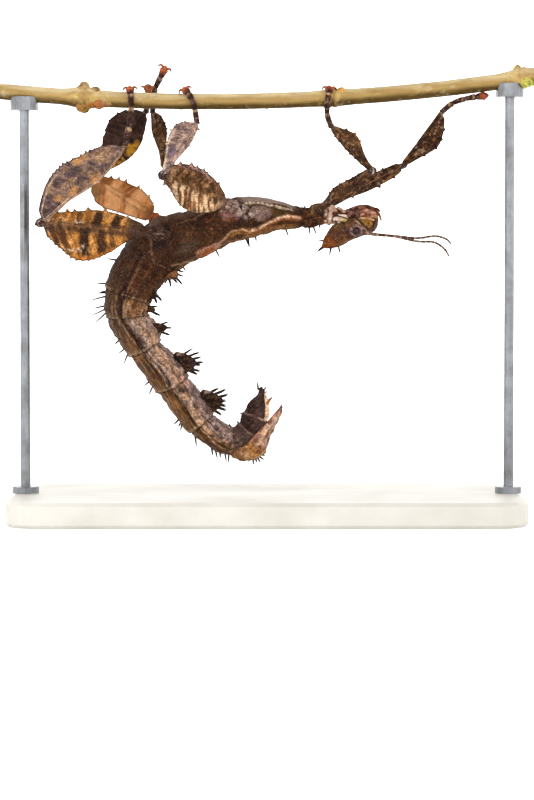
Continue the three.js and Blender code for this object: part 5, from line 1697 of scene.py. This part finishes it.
def thorn_shells(body):
    """Every thorn that is listed by its place, then the scattered small ones."""
    shells = []
    rng = np.random.default_rng(SEED + 1)
    for place, turn, length, lean in THORNS:
        spot, out = body.spot(place, turn, 0.1)
        way = out + body.direction(place) * lean
        curl = rng.uniform(-0.25, 0.25)
        shells.append(thorn_shell(spot, way, length * THORN_STRETCH, THORN_RADIUS, curl, 0))
    for x, z, length, angle in SCOOP_TEETH:
        way = (math.cos(math.radians(angle)), 0, math.sin(math.radians(angle)))
        shells.append(thorn_shell((x, rng.uniform(-0.3, 0.3), z), way, length, TOOTH_RADIUS, 0, 0))
    for foot, way, length, radius in HEAD_THORNS:
        shells.append(thorn_shell(foot, way, length, radius, 0.1, 0))
    return shells + small_thorns(body)


# ---------------------------------------------------------------- the twig

TWIG = dict(half_length=67, radius=1.9, low_x=-14, low_z=99.75, rise=0.00098)
# Where the twig's nodes are, how far they swell and how wide they spread.
TWIG_NODES = [(-43.6, 0.7, 3.4), (15.5, 0.3, 3.0), (60.5, 0.75, 3.0)]


def twig_z(x):
    """Height of the twig's middle line, which sags to its lowest at low_x."""
    return TWIG["low_z"] + TWIG["rise"] * (x - TWIG["low_x"]) ** 2


def twig_shell():
    """The twig, with nodes, ring scars, warts, three worn patches and cut ends, painted paler on top and
    darker underneath as painted light and shade.
    """
    half = TWIG["half_length"]
    x = np.linspace(-half, half, 420)
    turn = np.linspace(0, TAU, 72, endpoint=False)
    radius = TWIG["radius"] + sum(swell * hump(x, at, spread) for at, swell, spread in TWIG_NODES)
    ring = sum(0.22 * hump(x, at + shift, 0.35) for at, _, _ in TWIG_NODES for shift in (-0.5, 0.7))
    ring = ring - sum(0.16 * hump(x, at + 0.1, 0.25) for at, _, _ in TWIG_NODES)
    c, s = np.cos(turn)[None, :], np.sin(turn)[None, :]
    centre = np.stack([x, 0 * x, twig_z(x)], -1)
    level = 0 * x[:, None]
    out = np.stack([0 * c + level, c + level, s + level], -1)
    base = centre[:, None] + out * radius[:, None, None]
    grain = np.stack([base[..., 0] / 9, base[..., 1], base[..., 2] - centre[:, None, 2]], -1)
    fibre = cloud(grain, 0.55, SEED + 160)
    across = np.stack([base[..., 0], base[..., 1] * 0.25, grain[..., 2] * 0.25], -1)
    wrinkle = 0.5 * cloud(across, 0.7, SEED + 161)
    near_node = sum(hump(x, at, spread * 1.2) for at, _, spread in TWIG_NODES)[:, None]
    warts = granules(np.stack([base[..., 0] * 0.6, base[..., 1], base[..., 2]], -1), 1.5, SEED + 162)
    wart = ease(warts, 0.72, 0.9)
    bend = 0.12 * noise(centre, 18, SEED + 163)[:, None]
    lift = 0.05 * fibre + 0.05 * wrinkle * (0.4 + near_node) + 0.09 * wart + ring[:, None] + bend
    end = np.sqrt(np.clip(1 - ((np.abs(x) - half + 0.5) / 0.5).clip(0, 1) ** 2 * 0.35, 0, 1))[:, None]
    points = centre[:, None] + out * ((radius[:, None] + lift) * end)[..., None]
    up = s + level
    soft = cloud(base, (9, 2.5, 2.5), SEED + 164)
    # painted light and shade: paler on top where light falls from above, darker underneath
    colour = coats(shade(158, 130, 82),
        (ease(up + 0.3 * soft, 0.1, 0.9), shade(196, 176, 136)),
        (0.8 * ease(up + 0.2 * soft, 0.0, -0.7), shade(46, 28, 9)),
    )
    colour = coats(colour * (1 + 0.10 * fibre[..., None] + 0.05 * soft[..., None]),
        (0.35 * ease(cloud(grain, 0.35, SEED + 165), 0.25, 0.7), shade(132, 112, 62)),
        (0.55 * wart, shade(150, 116, 72)),
        (0.6 * near_node * ease(cloud(base, 1.4, SEED + 166), -0.1, 0.5), shade(204, 176, 108)),
        (0.65 * np.clip(ring, 0, 0.2)[:, None] * 5 * (1 + 0 * up), shade(168, 132, 84)),
    )
    for at, low, length, breadth, tone in (
        (14.4, -0.82, 2.0, 0.28, shade(78, 58, 40)), (62.0, -0.75, 1.6, 0.5, shade(196, 206, 92)),
        (-41.0, -0.72, 2.2, 0.35, shade(172, 112, 56)),
    ):
        spot = np.hypot((x[:, None] - at) / length, (up - low) / breadth)
        spot = spot + 9 * (c > 0.75)
        colour = paint(colour, 0.9 * ease(spot, 1.1, 0.75), tone)
        points = points - out * (0.25 * hump(spot, 0, 0.6))[..., None]
    wood = ease(np.abs(x), half - 0.35, half - 0.1)[:, None] + 0 * up
    colour = paint(colour, 0.9 * wood, shade(214, 190, 140))
    return Shell(points, colour, 0.25 + 0.5 * wart, 0.3 + 0.1 * fibre)


def bud_shells():
    """Cut stubs and buds at the twig's nodes."""
    # place along the twig, direction, length, radius at the foot and at the tip, colour
    buds = [
        (-43.4, (-0.25, -0.1, 1), 3.9, 1.9, 0.7, shade(160, 132, 84)),
        (-42.2, (0.55, -0.3, 0.85), 3.3, 1.3, 0.7, shade(150, 112, 66)),
        (-44.2, (0.1, -0.35, -0.9), 3.9, 1.8, 1.2, shade(150, 112, 62)),
        (-41.9, (0.8, -0.5, -0.6), 4.0, 1.5, 0.9, shade(164, 104, 62)),
        (-39.6, (0.9, -0.45, -0.5), 3.3, 1.1, 0.6, shade(176, 134, 84)),
        (61.4, (0.1, -0.75, -0.45), 3.4, 1.35, 1.25, shade(198, 196, 96)),
        (59.8, (-0.1, 0, 1), 3.4, 1.2, 0.7, shade(206, 178, 104)),
        (14.2, (-0.1, -0.1, -1), 2.7, 0.9, 0.6, shade(150, 112, 66)),
        (17.2, (0.2, -0.55, 0.8), 2.8, 1.0, 0.6, shade(212, 160, 88)),
    ]
    shells = []
    for number, (x, way, length, foot, tip, tone) in enumerate(buds):
        start = vec(x, 0, twig_z(x))
        way = unit(vec(*way))
        bend = vec(0.25, 0, 0.1)
        knuckle = start + way * length * 0.55 + bend * 0.3
        neck = start + way * length * 0.85 + bend * 0.6
        path = [start, knuckle, neck, start + way * length]
        radii = [foot, foot * 0.95, (foot + tip) / 2, tip]
        points, place, turn, out = tube(path, radii, sides=28, spacing=0.14)
        scales = np.sin(place * 9 + 2 * np.cos(turn * 2)) * ease(place, 0.8, 1.4)
        points = points + out * (0.10 * scales + 0.12 * cloud(points, 0.9, SEED + 170 + number))[..., None]
        fine = cloud(points, 0.7, SEED + 171 + number)
        colour = coats(tone,
            (ease(fine, 0.05, 0.5), tone * 0.45),
            (0.6 * ease(scales, -0.4, -0.9), shade(110, 74, 38)),
        )
        shells.append(Shell(points, colour, 0.3, 0.35))
    return shells


# ---------------------------------------------------------------- materials


class Nodes:
    """Short forms for building a material's node tree."""

    def __init__(self, name):
        self.material = bpy.data.materials.new(name)
        self.material.use_nodes = True
        self.tree = self.material.node_tree
        self.shader = self.tree.nodes["Principled BSDF"]

    def add(self, kind, **settings):
        node = self.tree.nodes.new(kind)
        for key, value in settings.items():
            if hasattr(node, key):
                setattr(node, key, value)
            else:
                node.inputs[key].default_value = value
        return node

    def link(self, source, target):
        self.tree.links.new(source, target)

    def surface(self, **inputs):
        """Sets the shader's inputs, named with _ for a space: an output is linked, a value is set."""
        for key, value in inputs.items():
            socket = self.shader.inputs[key.replace("_", " ")]
            if hasattr(value, "is_output"):
                self.link(value, socket)
            else:
                socket.default_value = value
        return self.material

    def attribute(self, name, output):
        node = self.add("ShaderNodeAttribute", attribute_name=name)
        return node.outputs[output]

    def noise(self, scale, detail=4.0, roughness=0.6, stretch=(1, 1, 1)):
        place = self.add("ShaderNodeTexCoord").outputs["Object"]
        mapping = self.add("ShaderNodeMapping")
        mapping.inputs["Scale"].default_value = stretch
        self.link(place, mapping.inputs["Vector"])
        node = self.add("ShaderNodeTexNoise", Scale=scale, Detail=detail, Roughness=roughness)
        self.link(mapping.outputs["Vector"], node.inputs["Vector"])
        return node.outputs["Fac"]

    def spots(self, scale):
        place = self.add("ShaderNodeTexCoord").outputs["Object"]
        node = self.add("ShaderNodeTexVoronoi", Scale=scale)
        self.link(place, node.inputs["Vector"])
        return node.outputs["Distance"]

    def remap(self, value, low, high, new_low=0.0, new_high=1.0):
        node = self.add("ShaderNodeMapRange")
        ends = {"From Min": low, "From Max": high, "To Min": new_low, "To Max": new_high}
        for key, number in ends.items():
            node.inputs[key].default_value = number
        self.link(value, node.inputs["Value"])
        return node.outputs["Result"]

    def multiply(self, a, b):
        """An output times another output, or times a plain number."""
        node = self.add("ShaderNodeMath", operation="MULTIPLY")
        self.link(a, node.inputs[0])
        if isinstance(b, float):
            node.inputs[1].default_value = b
        else:
            self.link(b, node.inputs[1])
        return node.outputs[0]

    def scale_colour(self, colour, factor):
        """A colour made darker or lighter by a factor that varies over the surface."""
        node = self.add("ShaderNodeVectorMath", operation="SCALE")
        self.link(colour, node.inputs[0])
        self.link(factor, node.inputs["Scale"])
        return node.outputs[0]

    def sum(self, a, b):
        node = self.add("ShaderNodeMath", operation="ADD")
        self.link(a, node.inputs[0])
        self.link(b, node.inputs[1])
        return node.outputs[0]

    def mix(self, amount, a, b, mode="MIX"):
        node = self.add("ShaderNodeMix", data_type="RGBA", blend_type=mode)
        self.link(amount, node.inputs["Factor"])
        for value, socket in ((a, node.inputs[6]), (b, node.inputs[7])):
            if hasattr(value, "is_output"):
                self.link(value, socket)
            else:
                socket.default_value = (*value, 1)
        return node.outputs[2]

    def bump(self, height, distance, strength=1.0, after=None):
        node = self.add("ShaderNodeBump", Strength=strength, Distance=distance)
        self.link(height, node.inputs["Height"])
        if after is not None:
            self.link(after, node.inputs["Normal"])
        return node.outputs["Normal"]


def cuticle(name, grain=1.0, pale=TAN):
    """Insect cuticle: the painted pigment broken up by dense fine mottling, and by low grains painted lighter
    on their tops and darker between them as painted light and shade, with a few cream specks, partly painted
    glints, where the fleck layer asks for them, and a dull waxy shine."""
    n = Nodes(name)
    pigment = n.attribute("pigment", "Color")
    fleck, gloss = n.attribute("fleck", "Fac"), n.attribute("gloss", "Fac")
    fine, coarse = n.noise(2300 * grain, 4, 0.6), n.noise(850 * grain, 4, 0.62)
    grains = n.remap(n.spots(2600 * grain), 0.08, 0.5, 1.0, 0.0)
    speckled = n.scale_colour(pigment, n.remap(fine, 0.36, 0.64, 0.5, 1.55))
    mottled = n.scale_colour(speckled, n.remap(coarse, 0.36, 0.64, 0.66, 1.36))
    # painted light on the grains: lighter on their tops, darker between them
    grain_light_shade = n.scale_colour(mottled, n.remap(grains, 0.0, 1.0, 0.82, 1.22))
    grain_light_shade = n.mix(n.remap(fleck, 0.0, 0.3, 0.3, 1.0), pigment, grain_light_shade)
    # pale specks, partly painted glints on the grains
    light = n.multiply(n.remap(n.noise(2600 * grain, 3, 0.6), 0.56, 0.72), fleck)
    colour = n.mix(n.multiply(light, 0.5), grain_light_shade, tuple(pale))
    dark = n.multiply(n.remap(n.noise(1700 * grain, 3, 0.5), 0.56, 0.68), fleck)
    colour = n.mix(n.multiply(dark, 0.7), colour, tuple(BLACKISH * 0.7))
    rough = n.sum(n.remap(gloss, 0, 1, 0.74, 0.4), n.remap(fine, 0.3, 0.7, -0.08, 0.1))
    normal = n.bump(coarse, 0.0005, 0.8)
    normal = n.bump(grains, 0.00009, 0.6, normal)
    normal = n.bump(fine, 0.0002, 0.8, normal)
    return n.surface(Base_Color=colour, Roughness=rough, Specular_IOR_Level=0.09, Normal=normal)


def bark(name):
    """Twig bark: the painted colour with fine lengthwise fibres, tiny pores and scuffs."""
    n = Nodes(name)
    pigment = n.attribute("pigment", "Color")
    fibre = n.noise(1500, 5, 0.65, (0.08, 1, 1))
    pores = n.remap(n.spots(900), 0.0, 0.22, 1.0, 0.0)
    scuff = n.noise(260, 5, 0.7)
    colour = n.mix(n.remap(fibre, 0.45, 0.75, 0.0, 0.4), pigment, (0.42, 0.33, 0.16), "MULTIPLY")
    colour = n.mix(n.remap(scuff, 0.55, 0.75, 0.0, 0.35), colour, tuple(shade(226, 210, 172)))
    colour = n.mix(n.multiply(pores, 0.5), colour, tuple(shade(120, 88, 48)))
    rough = n.remap(fibre, 0.3, 0.7, 0.5, 0.68)
    normal = n.bump(fibre, 0.00018, 0.7)
    normal = n.bump(pores, 0.0001, 0.5, normal)
    return n.surface(Base_Color=colour, Roughness=rough, Specular_IOR_Level=0.12, Normal=normal)


def eye_material(name):
    """A compound eye: dark brown with paler bands, fine facets and a wet shine."""
    n = Nodes(name)
    place = n.add("ShaderNodeTexCoord").outputs["Object"]
    bands = n.add("ShaderNodeTexWave", bands_direction="DIAGONAL", Scale=330.0, Distortion=3.0, Detail=2.0)
    n.link(place, bands.inputs["Vector"])
    facets = n.spots(9500)
    banding = n.remap(bands.outputs["Fac"], 0.6, 1.0)
    colour = n.mix(banding, tuple(shade(30, 18, 17)), tuple(shade(66, 40, 36)))
    colour = n.mix(n.remap(facets, 0.1, 0.6, 0.0, 0.5), colour, tuple(shade(26, 16, 15)))
    return n.surface(
        Base_Color=colour, Roughness=n.remap(facets, 0.0, 0.6, 0.16, 0.24), Specular_IOR_Level=0.05,
        Coat_Weight=0.3, Coat_Roughness=0.02, Normal=n.bump(facets, 0.00002, 0.5),
    )


def board_material(name):
    """Off-white satin paint: faint brush marks, small dents and slightly darker patches."""
    n = Nodes(name)
    patch, brush, dents = n.noise(60, 4, 0.6), n.noise(420, 5, 0.7, (0.05, 1, 1)), n.spots(160)
    colour = n.mix(n.remap(patch, 0.35, 0.7), tuple(shade(196, 192, 184)), tuple(shade(182, 177, 168)))
    colour = n.mix(n.remap(brush, 0.5, 0.8, 0, 0.25), colour, tuple(shade(202, 199, 191)))
    rough = n.remap(brush, 0.3, 0.7, 0.38, 0.55)
    normal = n.bump(brush, 0.00012, 0.35)
    normal = n.bump(n.remap(dents, 0.0, 0.12), 0.0001, 0.2, normal)
    return n.surface(Base_Color=colour, Roughness=rough, Normal=normal)


def steel_material(name):
    """Brushed steel with fine lines along the rod and a few duller stains."""
    n = Nodes(name)
    lines, stain = n.noise(5200, 4, 0.6, (1, 1, 0.03)), n.noise(240, 4, 0.6)
    colour = n.mix(n.remap(stain, 0.4, 0.75), tuple(shade(132, 134, 138)), tuple(shade(98, 98, 98)))
    colour = n.mix(n.remap(lines, 0.45, 0.8, 0, 0.4), colour, tuple(shade(70, 70, 74)))
    rough = n.remap(lines, 0.3, 0.7, 0.22, 0.42)
    return n.surface(Base_Color=colour, Metallic=1.0, Roughness=rough, Normal=n.bump(lines, 0.00003, 0.4))


# ---------------------------------------------------------------- pieces


def give(piece, material, slot_name, *nodes):
    """Sets a piece's material, hangs it under the root and hides the CAD nodes that it replaces."""
    piece.data.materials.clear()
    piece.data.materials.append(material)
    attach(piece, "root")
    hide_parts(*nodes)
    return piece


def eye_piece(side):
    """A slightly egg-shaped compound eye of small facets."""
    rows, columns = 40, 56
    turn = np.linspace(0, TAU, columns, endpoint=False)[None, :, None]
    open_end = 0.03
    rise = np.linspace(open_end, math.pi - open_end, rows)[:, None, None]
    across = (HEAD_BROW * np.cos(turn) + Y_AXIS * np.sin(turn)) * np.sin(rise)
    ball = HEAD_ALONG * np.cos(rise) * EYE_STRETCH + across
    facets = granules(ball * EYE_RADIUS, 0.17, SEED + 180)
    points = EYES[side] + ball * EYE_RADIUS * (1 + 0.012 * facets[..., None])
    return fuse(f"compound_eye_{side}", [Shell(points, UMBER)], 0)


def mirror_names(*stems):
    """The names of the left and the right node of each stem."""
    return [f"{stem}_{side}" for stem in stems for side in ("left", "right")]


def build_insect():
    """The skin, the thorns, the claws and the two eyes, each one piece."""
    body = Body()
    shells = [trunk_shell(body), head_shell(), *mouth_shells(), *feeler_shells(), *socket_shells()]
    for index, (name, leg) in enumerate(LEGS.items()):
        shells += leg_shells(name, leg, index * 3)
    shells += [*comb_shells(body), scoop_shell(), *flap_shells()]
    skin_nodes = ["neck", "prothorax", "mesothorax", "metathorax", "head", "mouthparts", "tail_scoop"]
    skin_nodes += [f"abdomen_{i + 1}" for i in range(10)]
    skin_nodes += mirror_names("tail_flap", "feeler")
    skin_nodes += [f"{part}_{leg}" for part in ("coxa", "femur", "tibia", "foot") for leg in LEGS]
    give(fuse("insect_skin", shells), cuticle("insect_cuticle"), "body_cuticle", *skin_nodes)
    horn = cuticle("horn_cuticle", 1.4)
    give(fuse("insect_thorns", thorn_shells(body), 0), horn, "body_cuticle")
    give(fuse("insect_claws", claw_shells(), 0), horn, "rusty_cuticle")
    wet = eye_material("compound_eye")
    for side in ("left", "right"):
        give(eye_piece(side), wet, "eye_dark", f"eye_{side}")


def build_perch():
    twig = fuse("perch_twig_bark", [twig_shell(), *bud_shells()])
    give(twig, bark("twig_bark_skin"), "twig_bark", "perch_twig")


def finish_stand():
    """The stand keeps its CAD shapes and gets real finishes."""
    board, steel = board_material("painted_board"), steel_material("brushed_steel")
    for name, material in (("stand_base", board), ("stand_rod_tail", steel), ("stand_rod_head", steel)):
        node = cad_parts[name]
        if not node.material_slots:
            node.data.materials.append(material)
        for place in node.material_slots:
            place.material = material


# ---------------------------------------------------------------- the studio

FLOOR_RADIUS = 3.2
FLOOR_CURVE = 1.2
GLOW_DISTANCES = (0.25, 1.3)  # metres from the middle between which the paper's glow grows
GLOW_STRENGTHS = (0.2, 0.85)
LIGHT_TARGET = (0, 0, 0.06)
AMBIENT = 0.36


def studio_floor():
    """A round white floor that curves up into a wall all round."""
    flat = FLOOR_RADIUS - FLOOR_CURVE
    profile = [(r, 0.0) for r in np.linspace(0.02, flat, 14)]
    for a in np.linspace(0.1, math.pi / 2, 14):
        profile.append((flat + FLOOR_CURVE * math.sin(a), FLOOR_CURVE * (1 - math.cos(a))))
    profile += [(FLOOR_RADIUS, FLOOR_CURVE + h) for h in (0.4, 1.0, 2.0)]
    columns = 96
    turns = np.linspace(0, TAU, columns, endpoint=False)
    verts = [(r * math.cos(a), r * math.sin(a), z) for r, z in profile for a in turns]
    faces = [tuple(range(columns))]
    for row in range(len(profile) - 1):
        for c in range(columns):
            d = (c + 1) % columns
            inner, outer = row * columns, (row + 1) * columns
            faces.append((inner + c, inner + d, outer + d, outer + c))
    mesh = bpy.data.meshes.new("studio_floor")
    mesh.from_pydata(verts, [], faces)
    mesh.shade_smooth()
    floor = new_object("studio_floor", mesh)
    n = Nodes("studio_paper")
    grain = n.noise(40, 4, 0.6)
    paper = n.mix(n.remap(grain, 0.3, 0.7), (0.93, 0.935, 0.93), (0.90, 0.905, 0.90))
    # the paper glows a little away from the object, as a lit backdrop does
    where = n.add("ShaderNodeVectorMath", operation="LENGTH")
    n.link(n.add("ShaderNodeTexCoord").outputs["Object"], where.inputs[0])
    glow = n.remap(where.outputs["Value"], *GLOW_DISTANCES, *GLOW_STRENGTHS)
    mesh.materials.append(n.surface(
        Base_Color=paper, Roughness=0.9, Specular_IOR_Level=0.1, Emission_Color=(1, 1, 1, 1),
        Emission_Strength=glow,
    ))


def area_light(name, place, size, power, colour=(1, 1, 1)):
    """A round soft light that points at the middle of the object."""
    data = bpy.data.lights.new(name, "AREA")
    data.shape, data.size, data.energy, data.color = "DISK", size, power, colour
    lamp = new_object(name, data)
    way = unit(vec(*LIGHT_TARGET) - vec(*place))
    lamp.location = place
    lamp.rotation_euler = (math.acos(-way[2]), 0, math.atan2(way[0], -way[1]) + TAU)


def studio_lights():
    """A white sky, with a warm key light, a cool fill light and a light from behind."""
    world = bpy.data.worlds.new("studio")
    world.use_nodes = True
    background = world.node_tree.nodes["Background"]
    background.inputs["Color"].default_value = (1.0, 1.0, 1.0, 1)
    background.inputs["Strength"].default_value = AMBIENT
    bpy.context.scene.world = world
    area_light("key", (-0.35, -0.65, 1.0), 0.3, 11.0, (1.0, 0.985, 0.96))
    area_light("fill", (0.75, -0.6, 0.45), 0.5, 2.2, (0.96, 0.98, 1.0))
    area_light("rim", (0.2, 0.8, 0.7), 0.4, 3.0)


# The photograph's view: 0.24 mm to a pixel at the twig, from 700 mm away, tilted down a little.
CAMERA_PLACE = (0, -0.7, 0.062)
CAMERA_TILT = 2.748
CAMERA_LENS = 131.4
SENSOR = 36.0
NEAREST, FARTHEST = 0.01, 20


def camera():
    """A camera where the photograph was taken from."""
    data = bpy.data.cameras.new("camera")
    data.lens, data.sensor_width = CAMERA_LENS, SENSOR
    data.clip_start, data.clip_end = NEAREST, FARTHEST
    view = new_object("camera", data)
    view.location = CAMERA_PLACE
    view.rotation_euler = (math.radians(90 - CAMERA_TILT), 0, 0)
    bpy.context.scene.camera = view


camera()
build_insect()
build_perch()
finish_stand()
studio_floor()
studio_lights()
bpy.context.scene.view_settings.view_transform = "Standard"
